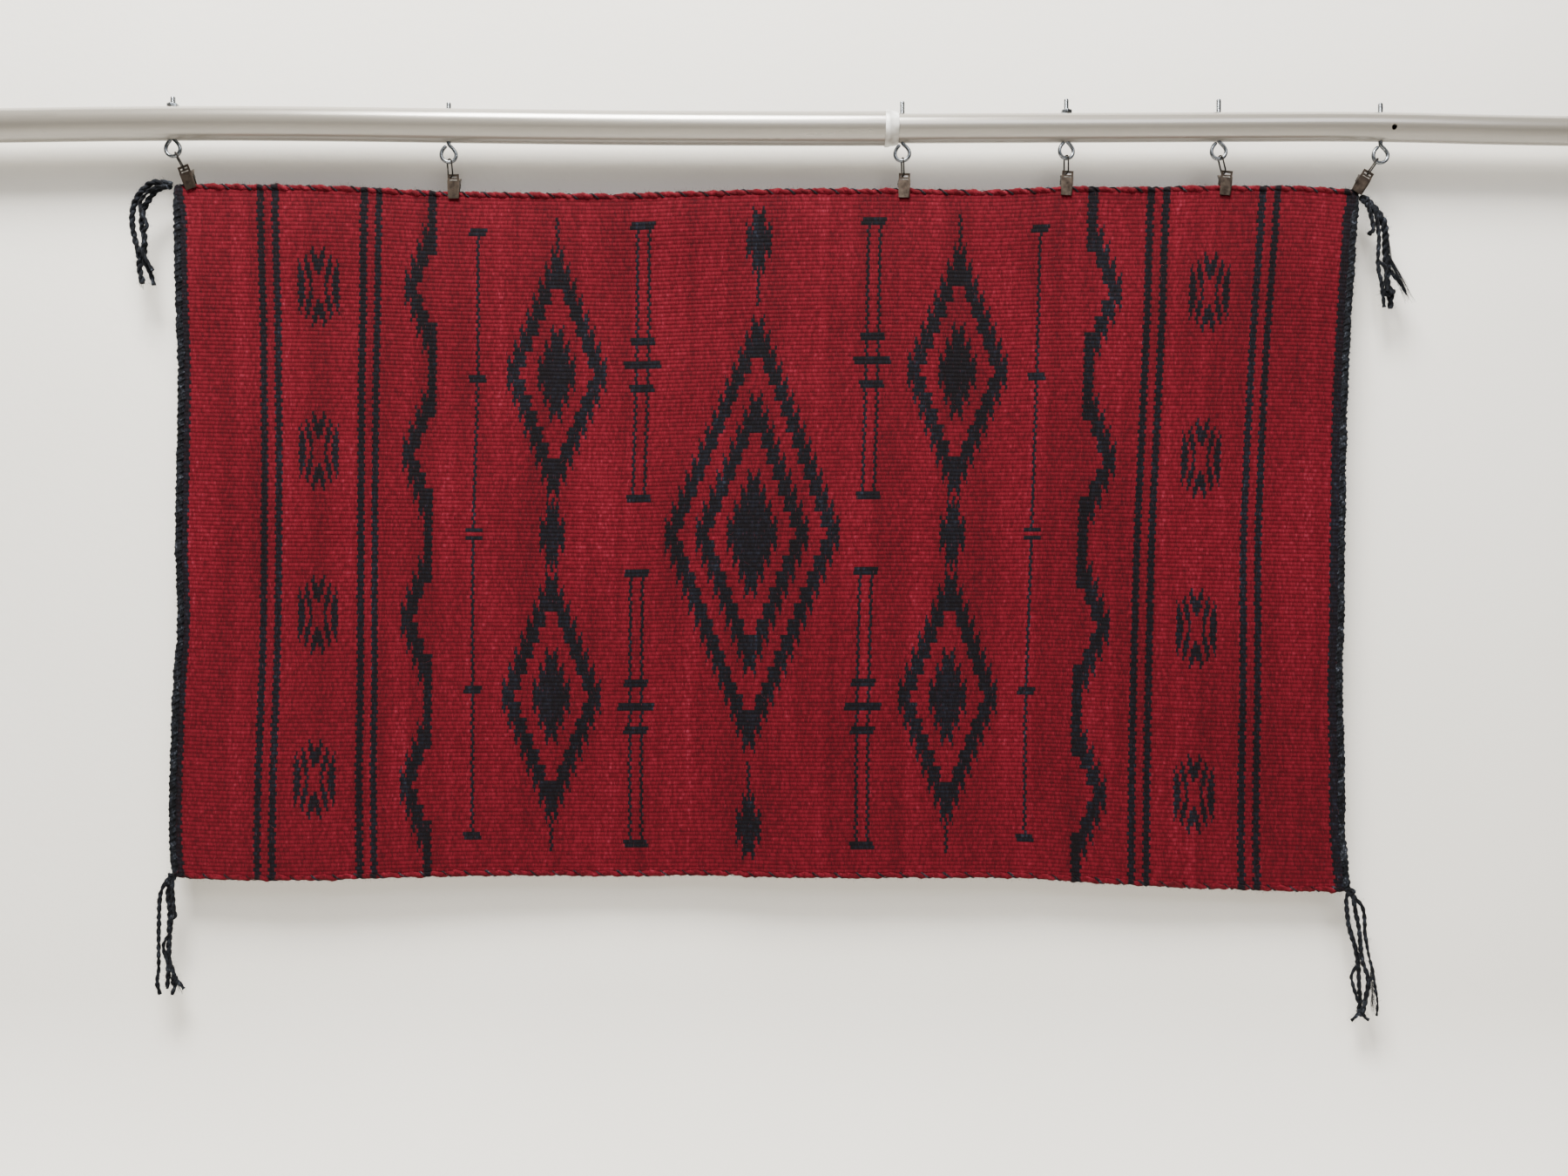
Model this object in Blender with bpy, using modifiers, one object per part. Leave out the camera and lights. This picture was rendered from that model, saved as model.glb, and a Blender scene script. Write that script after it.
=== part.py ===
"""A flat woven wool rug with cord edges and corner tassels, hung by clips from eye bolts under a
two-part rod.

The origin is on the rod's axis, where the rod is held up. X runs along the rod, the rug's face
looks along -Y and Z points up. Sizes and places are in millimetres, and become metres where a
piece is made.
"""
import math
from collections import namedtuple

import bmesh
import bpy
from mathutils import Vector

MM = 0.001
GAP = 0.3

# The rug's sheet and its edge cords.
RUG_THICKNESS = 4.0
RUG_Y = 3.5
COLUMN_COUNT = 28
ROW_COUNT = 13
END_CORD_RADIUS = 4.5
END_CORD_LUMP = 9.0
SIDE_CORD_RADIUS = 2.7
SIDE_CORD_LUMP = 20.8
STEPS_A_LUMP = 2

# An end cord is drawn thin over this depth below the rug's top edge, where a clip bites it.
THIN_DEPTH = 8.0
FULL_DEPTH = 24.0

# Outline of the rug with its cords. Columns: x, z.
TOP_LINE = (
    (-583.0, -54.6), (-490.0, -57.0), (-399.0, -59.3), (-298.0, -63.4), (-218.0, -65.2),
    (-114.0, -67.9), (-55.0, -66.1), (26.0, -62.9), (108.0, -61.1), (176.0, -60.6),
    (261.0, -62.7), (345.0, -58.6), (415.0, -58.4), (506.0, -57.7), (596.0, -58.8),
    (650.0, -62.6),
)
BOTTOM_LINE = (
    (-584.0, -776.5), (-521.0, -779.2), (-431.0, -779.2), (-340.0, -776.5), (-250.0, -775.6),
    (-114.0, -776.5), (-23.0, -775.6), (67.0, -777.4), (203.0, -777.4), (293.0, -777.9),
    (384.0, -783.7), (474.0, -788.8), (565.0, -792.3), (643.0, -793.7),
)
# Columns: z, x.
LEFT_LINE = (
    (-775.0, -584.0), (-725.0, -586.4), (-660.0, -585.5), (-580.0, -582.8), (-510.0, -578.8),
    (-435.0, -581.0), (-330.0, -578.8), (-245.0, -578.3), (-180.0, -580.5), (-58.0, -583.2),
)
RIGHT_LINE = (
    (-790.0, 643.0), (-725.0, 638.0), (-653.0, 636.2), (-580.0, 633.5), (-507.0, 634.9),
    (-400.0, 636.2), (-290.0, 638.0), (-218.0, 641.2), (-145.0, 645.3), (-66.0, 650.7),
)

# Soft folds of the sheet. Columns: x, z, reach along x, reach along z, how far it comes forward.
FOLDS = (
    (-62.0, -80.0, 150.0, 60.0, 7.0),
    (-432.0, -90.0, 80.0, 60.0, 4.0),
    (262.0, -92.0, 55.0, 45.0, 3.0),
    (425.0, -95.0, 55.0, 50.0, -3.0),
    (580.0, -110.0, 50.0, 60.0, 3.5),
    (-295.0, -330.0, 70.0, 190.0, -4.5),
    (120.0, -560.0, 210.0, 190.0, 5.0),
    (-440.0, -700.0, 130.0, 120.0, 6.0),
    (-110.0, -740.0, 110.0, 120.0, -4.0),
    (360.0, -420.0, 80.0, 260.0, -4.0),
    (560.0, -730.0, 120.0, 110.0, -6.0),
)
HELD_REACH = 42.0

# The rod's axis. Columns: x, z.
LEFT_AXIS = (
    (-800.0, 3.4), (-762.0, 3.4), (-650.0, 4.9), (-526.0, 5.6), (-400.0, 4.6), (-309.0, 3.3),
    (-200.0, 1.9), (-91.0, 0.8), (60.0, 0.2), (160.0, 0.2),
)
RIGHT_AXIS = (
    (60.0, 0.2), (165.0, 0.2), (290.0, 0.7), (415.0, 1.2), (560.0, 1.9), (633.0, 2.0),
    (705.0, 1.0), (777.0, -0.8), (867.0, -2.4), (905.0, -2.4),
)
LEFT_RADIUS = 16.9
RIGHT_RADIUS = 14.6
LEFT_WALL = 2.0
RIGHT_WALL = 1.7
ROD_RESOLUTION = 8
DRILLED_HOLE_X = 678.0
DRILLED_HOLE_Z = -3.3
DRILLED_HOLE_RADIUS = 2.7

# The collar between the rod's two sections. Columns: distance along the rod, radius.
COLLAR_X = 156.5
COLLAR_SEAT = 3.9
COLLAR_LENGTH = 14.0
COLLAR_OUTLINE = ((0.0, 17.9), (4.6, 18.2), (5.6, 17.5), (11.0, 16.6), (COLLAR_LENGTH, 15.9))
COLLAR_STEPS = 24

# Where each eye bolt, link and clip sits. The eye turns about its bolt, a positive lean takes the
# clip's top to the left (both in degrees), and the link takes the clip's slot off its middle.
Hanger = namedtuple("Hanger", "bolt_x eye_turn clip_x clip_z lean slot_side has_nut")
HANGERS = (
    Hanger(-581.2, 0.0, -566.6, -50.2, 21.0, 0.0, True),
    Hanger(-295.4, 8.0, -290.5, -59.7, 1.0, -2.6, False),
    Hanger(174.8, -8.0, 176.8, -58.6, -1.5, -1.5, False),
    Hanger(344.9, 10.0, 345.6, -56.1, -4.0, -1.5, True),
    Hanger(502.8, 0.0, 510.4, -56.0, -5.0, -2.8, False),
    Hanger(670.5, 0.0, 652.4, -55.1, -30.0, 0.0, False),
)
BOLT_LENGTH = 63.5
EYE_RADIUS = 7.1
EYE_WIRE_RADIUS = 1.9
SHANK_RADIUS = 2.4
EYE_START = 125.0
EYE_END = 400.0
EYE_STEPS = 12
# The eye's wire turns up into the shank here. Columns: x, height over the eye's middle.
EYE_NECK = ((2.6, 6.8), (0.5, 7.9), (0.0, 9.2))
NUT_RADIUS = 6.0
NUT_HEIGHT = 3.0
LINK_REACH = 23.5
LINK_HALF_WIDTH = 3.6
LINK_WIRE_RADIUS = 0.7
LINK_TURN = 25.0
LINK_ARC_STEPS = 6

# A clip: a flat front jaw, a back jaw that nests between the front one's ears, and their pin.
CLIP_HALF_LENGTH = 12.5
CLIP_SHEET = 0.9
FRONT_HALF_WIDTH = 5.85
BACK_HALF_WIDTH = 4.6
BACK_Y = 7.0
EAR_LOW = -0.5
EAR_HIGH = 5.5
SLOT_HALF_WIDTH = 3.9
# Columns: height, how far the jaw's middle stands back, width factor, open over the slot's width.
FRONT_ROWS = (
    (-12.5, 0.0, 0.94, False), (EAR_LOW, 0.0, 1.0, False), (EAR_HIGH, 0.0, 1.0, True),
    (7.1, 0.0, 1.0, False), (8.3, 0.0, 1.0, True), (10.3, 0.0, 1.0, False),
    (CLIP_HALF_LENGTH, -0.3, 1.0, False),
)
BACK_ROWS = (
    (-12.5, 0.0, 0.94, False), (EAR_LOW, 0.0, 1.0, False), (EAR_HIGH, 1.6, 1.0, False),
    (CLIP_HALF_LENGTH, 7.5, 1.0, False),
)
SLOT_MIDDLE = 9.3
PIN_Y = 3.9
PIN_HEIGHT = 2.5
PIN_RADIUS = 0.85
PIN_HALF_LENGTH = 6.7
FRONT_EAR_DEPTH = 5.6
BACK_EAR_DEPTH = -4.8

# Tassels. Each head is a knot at a corner of the rug. Columns: head's x and z, then its strands
# and its further knots. A strand's columns: radius at its root and its end, how far it stands
# back, then its route from the head as x, z. A knot's columns: x, z, half width, half height.
TASSELS = {
    "top_left": (-588.0, -56.6, (
        (2.6, 2.6, -2.7, ((-1, 1), (-13.3, 1.4), (-23.4, -5), (-30.9, -15.2), (-35.5, -29),
                          (-35.5, -43.8), (-32.7, -57.6), (-29, -71.5))),
        (2.6, 2.6, 2.7, ((-1, -1), (-10.5, -3.2), (-17.9, -9.6), (-25.2, -20.7), (-28.5, -30.8),
                         (-28.5, -43.8), (-26.2, -54.8), (-27, -71.5))),
        (1.7, 1.7, -6.4, ((-1, -1), (-14, -7), (-25.6, -20.7), (-23.4, -32.6), (-18.4, -44.7),
                          (-22.5, -52.1), (-21.8, -62.4), (-23.4, -69.7), (-19.7, -78.7),
                          (-12.4, -90.9))),
        (2.7, 2.7, 1.0, ((-29, -71.5), (-30.3, -86.9), (-27.2, -102))),
        (1.9, 1.9, 0.0, ((-27, -71.5), (-24.3, -80.5), (-18.6, -91.8), (-14.7, -104.7))),
    ), ((-29.0, -71.5, 6.0, 6.3),)),
    "top_right": (655.2, -72.0, (
        (3.0, 2.4, 3.2, ((1, -1), (13.2, -10.7), (21.1, -21.4), (24.1, -35.2), (24.1, -49),
                         (26, -72.5), (25.5, -84.3), (29, -97), (29, -112.7))),
        (1.9, 1.2, 4.4, ((26, -70.5), (31.7, -76.5), (40.7, -86.4), (46.6, -98.2))),
        (1.7, 1.7, -2.2, ((0, -1), (2.6, -6), (5.9, -16.6), (8.9, -30.3), (7.2, -35))),
        (1.8, 1.8, -1.6, ((1, -1), (10.3, -12), (13.4, -26.4), (14.8, -41.2), (13.8, -64.7),
                          (14.8, -76.5), (18.1, -90), (20.1, -112.7))),
        (1.4, 1.4, -3.0, ((14, -64.7), (20.6, -71.5), (21.1, -80.4), (22.5, -95.1))),
    ), ((24.7, -96.8, 8.0, 4.2), (7.0, -35.0, 2.6, 2.4))),
    "bottom_left": (-583.6, -775.8, (
        (1.9, 1.7, -2.4, ((-1, -1), (-5.7, -5.4), (-11.6, -19), (-12.9, -46.2), (-13.1, -75.1),
                          (-13.1, -94.8), (-14.6, -109.5), (-11.6, -122.2))),
        (2.8, 2.0, 2.6, ((-1, -1), (-4.7, -7.2), (-5.2, -21.2), (-3.7, -36.8), (-4.3, -55.5),
                         (-5.7, -85.1), (-5.7, -99.6), (-6.8, -117.4))),
        (1.7, 1.7, -1.6, ((0.5, -1), (1.0, -6), (1.4, -21.2), (2.6, -34.8), (4.1, -40.7),
                          (-1.6, -45.7))),
        (1.5, 1.5, 0.8, ((-4.7, -61.4), (-9.6, -70.2), (-9.1, -80.1), (-5.2, -88.8))),
        (2.0, 1.8, 1.6, ((-5.4, -86.7), (0.2, -101.6), (2.2, -112.5), (-1.4, -123.1))),
        (1.6, 1.6, 0.6, ((0.6, -104), (3.6, -107.4), (12, -117.4))),
    ), ((1.6, -108.0, 3.6, 5.0),)),
    "bottom_right": (641.2, -792.1, (
        (2.0, 1.9, 2.7, ((-1, -1), (-3, -7.9), (-1.4, -30), (2.1, -45.3), (6.2, -59.4),
                         (9.1, -75.5), (10.1, -95.7), (11.1, -115.8), (10.1, -126.1))),
        (2.0, 1.9, -2.4, ((0, -1), (2.1, -8.9), (5, -25), (8.1, -41.2), (9.1, -55.2),
                          (11.1, -70.5), (16.2, -85.6), (17.2, -95.7), (14.2, -110.9),
                          (11.6, -125.5))),
        (1.9, 1.1, 0.6, ((1, -1), (5.4, -6.9), (12.6, -15.9), (14.9, -30), (15.3, -43.2),
                         (18.8, -63.4), (22.8, -80.5), (26.3, -100.7), (28.3, -115.8),
                         (27.3, -129.1))),
        (1.5, 1.5, 3.4, ((8.1, -77.6), (2.5, -87.6), (4.1, -97.7), (9.6, -115.8))),
        (1.2, 1.2, 1.1, ((9.6, -124.3), (6, -130), (1.1, -134))),
        (1.3, 1.3, -0.7, ((11.4, -123.6), (15, -130.6), (18.7, -132.6))),
    ), ((10.7, -125.2, 3.4, 4.1),)),
}
HEAD_RADIUS = 4.5
ROOT_REACH = 2.0
KNOT_DEPTH = 4.4
KNOT_SEGMENTS = 8
KNOT_RINGS = 6
STRAND_STEP = 11.0

# Columns: colour, roughness, metallic.
FINISHES = {
    "red_wool": ((0.30, 0.012, 0.022), 0.9, 0.0),
    "black_wool": ((0.008, 0.010, 0.016), 0.9, 0.0),
    "white_tube": ((0.74, 0.74, 0.72), 0.35, 0.0),
    "white_plastic": ((0.80, 0.80, 0.78), 0.4, 0.0),
    "zinc": ((0.62, 0.63, 0.64), 0.3, 1.0),
    "bronze": ((0.20, 0.16, 0.11), 0.4, 1.0),
    "dark_wire": ((0.04, 0.04, 0.045), 0.45, 1.0),
}


def clear_scene():
    for obj in list(bpy.data.objects):
        bpy.data.objects.remove(obj, do_unlink=True)


def new_collection(name):
    collection = bpy.data.collections.new(name)
    bpy.context.scene.collection.children.link(collection)
    return collection


def finish(name):
    """Return the named material, made on its first use."""
    if name in bpy.data.materials:
        return bpy.data.materials[name]
    colour, roughness, metallic = FINISHES[name]
    material = bpy.data.materials.new(name)
    material.use_nodes = True
    shader = material.node_tree.nodes["Principled BSDF"]
    shader.inputs["Base Color"].default_value = (*colour, 1.0)
    shader.inputs["Roughness"].default_value = roughness
    shader.inputs["Metallic"].default_value = metallic
    return material


def add_object(name, data, collection, material_name=None):
    obj = bpy.data.objects.new(name, data)
    collection.objects.link(obj)
    if material_name:
        data.materials.clear()
        data.materials.append(finish(material_name))
    return obj


def hide_cutter(obj):
    obj.hide_render = True
    obj.display_type = "WIRE"


def table_value(table, position):
    """Read a two-column table at a position, on a smooth curve through its rows."""
    if position <= table[0][0]:
        return table[0][1]
    if position >= table[-1][0]:
        return table[-1][1]
    index = max(i for i, row in enumerate(table[:-1]) if row[0] <= position)
    start, end = table[index], table[index + 1]
    before = table[max(index - 1, 0)]
    after = table[min(index + 2, len(table) - 1)]
    width = end[0] - start[0]
    slope_start = (end[1] - before[1]) / (end[0] - before[0])
    slope_end = (after[1] - start[1]) / (after[0] - start[0])
    t = (position - start[0]) / width
    return ((2 * t ** 3 - 3 * t ** 2 + 1) * start[1] + (t ** 3 - 2 * t ** 2 + t) * width * slope_start
            + (3 * t ** 2 - 2 * t ** 3) * end[1] + (t ** 3 - t ** 2) * width * slope_end)


def smooth_route(points, step):
    """Return points about one step apart on a smooth curve through the route's points."""
    route = []
    for i in range(len(points) - 1):
        before = points[max(i - 1, 0)]
        start, end = points[i], points[i + 1]
        after = points[min(i + 2, len(points) - 1)]
        count = max(1, round((end - start).length / step))
        for j in range(count):
            t = j / count
            route.append(0.5 * (2 * start + (end - before) * t
                                + (2 * before - 5 * start + 4 * end - after) * t ** 2
                                + (3 * start - before - 3 * end + after) * t ** 3))
    route.append(points[-1])
    return route


def wire(name, points, collection, radius=1.0, radii=None, tilts=None, closed=False,
         resolution=2, caps=True):
    """Make a round wire along points given in millimetres, as a poly curve."""
    curve = bpy.data.curves.new(name, "CURVE")
    curve.dimensions = "3D"
    curve.bevel_depth = radius * MM
    curve.bevel_resolution = resolution
    curve.use_fill_caps = caps and not closed
    spline = curve.splines.new("POLY")
    spline.points.add(len(points) - 1)
    spline.use_cyclic_u = closed
    for index, point in enumerate(points):
        spline.points[index].co = (*(Vector(point) * MM), 1.0)
        if radii:
            spline.points[index].radius = radii[index] / radius
        if tilts:
            spline.points[index].tilt = tilts[index]
    return add_object(name, curve, collection)


def baked_mesh(obj, weld=0.0):
    """Return the object's evaluated mesh, its loose caps welded, and remove the object."""
    mesh = bpy.data.meshes.new_from_object(obj.evaluated_get(bpy.context.evaluated_depsgraph_get()))
    if weld:
        work = bmesh.new()
        work.from_mesh(mesh)
        bmesh.ops.remove_doubles(work, verts=work.verts, dist=weld)
        bmesh.ops.recalc_face_normals(work, faces=work.faces)
        work.to_mesh(mesh)
        work.free()
    bpy.data.objects.remove(obj, do_unlink=True)
    return mesh


def boolean(obj, operation, operand, solver="EXACT"):
    modifier = obj.modifiers.new(operation.title() + " " + operand.name, "BOOLEAN")
    modifier.operation = operation
    modifier.solver = solver
    modifier.object = operand
    hide_cutter(operand)


def solidify(obj, thickness, offset):
    modifier = obj.modifiers.new("Thickness", "SOLIDIFY")
    modifier.thickness = thickness * MM
    modifier.offset = offset
    modifier.use_even_offset = True


def rod_height(x):
    """Height of the rod's axis at x, between the stations of its section."""
    axis = LEFT_AXIS if x < LEFT_AXIS[-1][0] else RIGHT_AXIS
    for start, end in zip(axis, axis[1:]):
        if start[0] <= x <= end[0]:
            return start[1] + (end[1] - start[1]) * (x - start[0]) / (end[0] - start[0])
    return axis[-1][1]


def rod_radius(x):
    return LEFT_RADIUS if x < LEFT_AXIS[-1][0] else RIGHT_RADIUS


def cylinder_cutter(name, cutters, radius, depth, location, rotation=(0.0, 0.0, 0.0)):
    mesh = bpy.data.meshes.new(name)
    work = bmesh.new()
    bmesh.ops.create_cone(work, cap_ends=True, segments=12, radius1=radius * MM,
                          radius2=radius * MM, depth=depth * MM)
    work.to_mesh(mesh)
    work.free()
    obj = add_object(name, mesh, cutters)
    obj.location = Vector(location) * MM
    obj.rotation_euler = rotation
    return obj


def make_rod_section(name, axis, radius, wall, parts, cutters):
    """A bowed tube with a bored hole for each bolt that goes through it."""
    route = [(x, 0.0, z) for x, z in axis]
    skin = baked_mesh(wire(name, route, cutters, radius=radius, resolution=ROD_RESOLUTION, caps=False))
    tube = add_object(name, skin, parts, "white_tube")
    tube.data.shade_smooth()
    tube.data.set_sharp_from_angle(angle=math.radians(40))
    solidify(tube, wall, -1.0)
    for number, hanger in enumerate(HANGERS, 1):
        x = hanger.bolt_x
        if rod_radius(x) == radius:
            cutter = cylinder_cutter(f"bore_{number}", cutters, SHANK_RADIUS + GAP, 4 * radius,
                                     (x, 0.0, rod_height(x)))
            boolean(tube, "DIFFERENCE", cutter)
    return tube


def make_rod(parts, cutters):
    make_rod_section("rod_left", LEFT_AXIS, LEFT_RADIUS, LEFT_WALL, parts, cutters)
    right = make_rod_section("rod_right", RIGHT_AXIS, RIGHT_RADIUS, RIGHT_WALL, parts, cutters)
    drill = cylinder_cutter("drill", cutters, DRILLED_HOLE_RADIUS, RIGHT_RADIUS,
                            (DRILLED_HOLE_X, -RIGHT_RADIUS, DRILLED_HOLE_Z), (math.pi / 2, 0.0, 0.0))
    boolean(right, "DIFFERENCE", drill)


def make_collar(parts):
    """A turned ring that covers the left section's end and closes on the right section."""
    wide, narrow = LEFT_RADIUS + GAP, RIGHT_RADIUS + GAP
    bore = ((COLLAR_LENGTH, narrow), (COLLAR_SEAT, narrow), (COLLAR_SEAT, wide), (0.0, wide))
    outline = [(radius * MM, 0.0, -along * MM) for along, radius in (*COLLAR_OUTLINE, *bore)]
    mesh = bpy.data.meshes.new("rod_collar")
    edges = [(i, (i + 1) % len(outline)) for i in range(len(outline))]
    mesh.from_pydata(outline, edges, [])
    collar = add_object("rod_collar", mesh, parts, "white_plastic")
    screw = collar.modifiers.new("Turn", "SCREW")
    screw.steps = screw.render_steps = COLLAR_STEPS
    screw.use_merge_vertices = True
    screw.merge_threshold = 0.00001
    collar.location = Vector((COLLAR_X, 0.0, rod_height(COLLAR_X))) * MM
    collar.rotation_euler = (0.0, -math.pi / 2, 0.0)


def clip_point(hanger, side, height):
    """The x and z of a point in a clip's own frame, which leans in the rug's plane."""
    lean = math.radians(hanger.lean)
    return (hanger.clip_x + side * math.cos(lean) - height * math.sin(lean),
            hanger.clip_z + side * math.sin(lean) + height * math.cos(lean))


def eye_centre(hanger):
    """The eye hangs straight over its slot, one link's reach away."""
    slot_x, slot_z = clip_point(hanger, hanger.slot_side, SLOT_MIDDLE)
    across = slot_x - hanger.bolt_x
    return Vector((hanger.bolt_x, 0.0, slot_z + math.sqrt(LINK_REACH ** 2 - across ** 2)))


def make_bolt(number, hanger, parts):
    """An eye bolt: a bent wire eye, open at its neck, and a straight shank through the rod."""
    route = []
    for step in range(EYE_STEPS + 1):
        angle = math.radians(EYE_START + (EYE_END - EYE_START) * step / EYE_STEPS)
        route.append((EYE_RADIUS * math.cos(angle), 0.0, EYE_RADIUS * math.sin(angle)))
    top = BOLT_LENGTH - EYE_RADIUS - EYE_WIRE_RADIUS
    radii = [EYE_WIRE_RADIUS] * (len(route) + len(EYE_NECK) - 1) + [SHANK_RADIUS] * 2
    route += [(x, 0.0, height) for x, height in EYE_NECK] + [(0.0, 0.0, top)]
    bolt = wire(f"eye_bolt_{number}", route, parts, radius=EYE_WIRE_RADIUS, radii=radii)
    bolt.data.materials.append(finish("zinc"))
    bolt.location = eye_centre(hanger) * MM
    bolt.rotation_euler = (0.0, 0.0, math.radians(hanger.eye_turn))


def make_nut_mesh(cutters):
    blank = bpy.data.meshes.new("nut")
    work = bmesh.new()
    bmesh.ops.create_cone(work, cap_ends=True, segments=6, radius1=NUT_RADIUS * MM,
                          radius2=NUT_RADIUS * MM, depth=NUT_HEIGHT * MM)
    work.to_mesh(blank)
    work.free()
    nut = add_object("nut", blank, cutters, "zinc")
    bore = cylinder_cutter("nut_bore", cutters, SHANK_RADIUS + GAP, 3 * NUT_HEIGHT, (0.0, 0.0, 0.0))
    boolean(nut, "DIFFERENCE", bore)
    return baked_mesh(nut)


def make_nut(number, hanger, mesh, parts):
    """A nut that sits on the rod, round its bolt."""
    nut = add_object(f"nut_{number}", mesh, parts)
    seat = rod_height(hanger.bolt_x) + rod_radius(hanger.bolt_x) + GAP
    nut.location = Vector((hanger.bolt_x, 0.0, seat + NUT_HEIGHT / 2)) * MM


def make_link(number, hanger, parts):
    """A long wire loop that hangs on the eye and holds the bar over the clip's slot."""
    eye = eye_centre(hanger)
    slot_x, slot_z = clip_point(hanger, hanger.slot_side, SLOT_MIDDLE)
    down = (Vector((slot_x, 0.0, slot_z)) - eye).normalized()
    across = Vector((0.0, 1.0, 0.0)).cross(down)
    turn = math.radians(LINK_TURN)
    side = Vector((0.0, math.cos(turn), 0.0)) + across * math.sin(turn)
    inner = LINK_HALF_WIDTH - LINK_WIRE_RADIUS
    top = eye + down * (EYE_RADIUS - EYE_WIRE_RADIUS + inner - GAP)
    bottom = eye + down * (LINK_REACH - LINK_HALF_WIDTH)
    points = []
    for centre, first in ((top, 180.0), (bottom, 0.0)):
        for step in range(LINK_ARC_STEPS + 1):
            angle = math.radians(first + 180.0 * step / LINK_ARC_STEPS)
            points.append(centre + side * (LINK_HALF_WIDTH * math.cos(angle))
                          + down * (LINK_HALF_WIDTH * math.sin(angle)))
    link = wire(f"link_{number}", points, parts, radius=LINK_WIRE_RADIUS, closed=True)
    link.data.materials.append(finish("dark_wire"))


def jaw_mesh(name, rows, half_width, ear_depth, cutters):
    """A jaw bent from one sheet: a plate with open slots, and an ear at each side."""
    columns = (-half_width, -SLOT_HALF_WIDTH, SLOT_HALF_WIDTH, half_width)
    points = []
    for height, back, factor, _ in rows:
        points += [Vector((u * factor if abs(u) == half_width else u, back, height)) for u in columns]
    count = len(columns)
    faces = []
    for row in range(len(rows) - 1):
        for column in range(count - 1):
            if column == 1 and rows[row][3]:
                continue
            corner = row * count + column
            faces.append((corner, corner + 1, corner + count + 1, corner + count))
    ear_rows = [i for i, row in enumerate(rows) if row[0] in (EAR_LOW, EAR_HIGH)]
    for column in (0, count - 1):
        low, high = (i * count + column for i in ear_rows)
        outer = len(points)
        points += [Vector((points[low].x, ear_depth, EAR_LOW)),
                   Vector((points[high].x, ear_depth, EAR_HIGH))]
        face = (low, outer, outer + 1, high)
        faces.append(face if column else face[::-1])
    mesh = bpy.data.meshes.new(name)
    mesh.from_pydata([point * MM for point in points], [], faces)
    work = bmesh.new()
    work.from_mesh(mesh)
    bmesh.ops.recalc_face_normals(work, faces=work.faces)
    work.to_mesh(mesh)
    work.free()
    jaw = add_object(name, mesh, cutters, "bronze")
    solidify(jaw, CLIP_SHEET, 0.0)
    return jaw


def make_clip_meshes(cutters):
    front = jaw_mesh("clip_front", FRONT_ROWS, FRONT_HALF_WIDTH, FRONT_EAR_DEPTH, cutters)
    back = jaw_mesh("clip_back", BACK_ROWS, BACK_HALF_WIDTH, BACK_EAR_DEPTH, cutters)
    length = 4 * PIN_HALF_LENGTH
    turned = (0.0, math.pi / 2, 0.0)
    boolean(front, "DIFFERENCE", cylinder_cutter(
        "front_pin_bore", cutters, PIN_RADIUS + GAP, length, (0.0, PIN_Y, PIN_HEIGHT), turned))
    boolean(back, "DIFFERENCE", cylinder_cutter(
        "back_pin_bore", cutters, PIN_RADIUS + GAP, length, (0.0, PIN_Y - BACK_Y, PIN_HEIGHT), turned))
    pin = cylinder_cutter("clip_pin", cutters, PIN_RADIUS, 2 * PIN_HALF_LENGTH, (0.0, 0.0, 0.0))
    pin.data.materials.append(finish("bronze"))
    return {"front": baked_mesh(front), "back": baked_mesh(back), "pin": baked_mesh(pin)}


def make_clip(number, hanger, meshes, parts):
    """Front jaw, back jaw and pin, each its own object under one empty at the clip's middle."""
    centre = bpy.data.objects.new(f"clip_{number}_centre", None)
    parts.objects.link(centre)
    centre.location = Vector((hanger.clip_x, 0.0, hanger.clip_z)) * MM
    centre.rotation_euler = (0.0, -math.radians(hanger.lean), 0.0)
    places = {
        "front": ((0.0, 0.0, 0.0), (0.0, 0.0, 0.0)),
        "back": ((0.0, BACK_Y, 0.0), (0.0, 0.0, 0.0)),
        "pin": ((0.0, PIN_Y, PIN_HEIGHT), (0.0, math.pi / 2, 0.0)),
    }
    for piece, (location, rotation) in places.items():
        obj = add_object(f"clip_{piece}_{number}", meshes[piece], parts)
        obj.parent = centre
        obj.location = Vector(location) * MM
        obj.rotation_euler = rotation


def fold_depth(x, z):
    """The sheet's middle stands here along Y: its folds, pinned flat where a clip holds it."""
    forward = sum(depth * math.exp(-((x - fold_x) / reach_x) ** 2 - ((z - fold_z) / reach_z) ** 2)
                  for fold_x, fold_z, reach_x, reach_z, depth in FOLDS)
    for hanger in HANGERS:
        grip_x, grip_z = clip_point(hanger, 0.0, -CLIP_HALF_LENGTH)
        distance = math.hypot(x - grip_x, z - grip_z)
        forward *= 1.0 - math.exp(-(distance / HELD_REACH) ** 4)
    return RUG_Y - forward


def end_cord_radius(depth):
    """Radius of an end cord at a depth below the rug's top edge."""
    share = min(max((depth - THIN_DEPTH) / (FULL_DEPTH - THIN_DEPTH), 0.0), 1.0)
    return SIDE_CORD_RADIUS + (END_CORD_RADIUS - SIDE_CORD_RADIUS) * share


def row_depths(height):
    """Depths of the sheet's rows below its top edge: close where the end cords thin, then even."""
    even = [FULL_DEPTH + (height - FULL_DEPTH) * i / ROW_COUNT for i in range(1, ROW_COUNT + 1)]
    return [0.0, THIN_DEPTH, FULL_DEPTH, *even]


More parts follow.
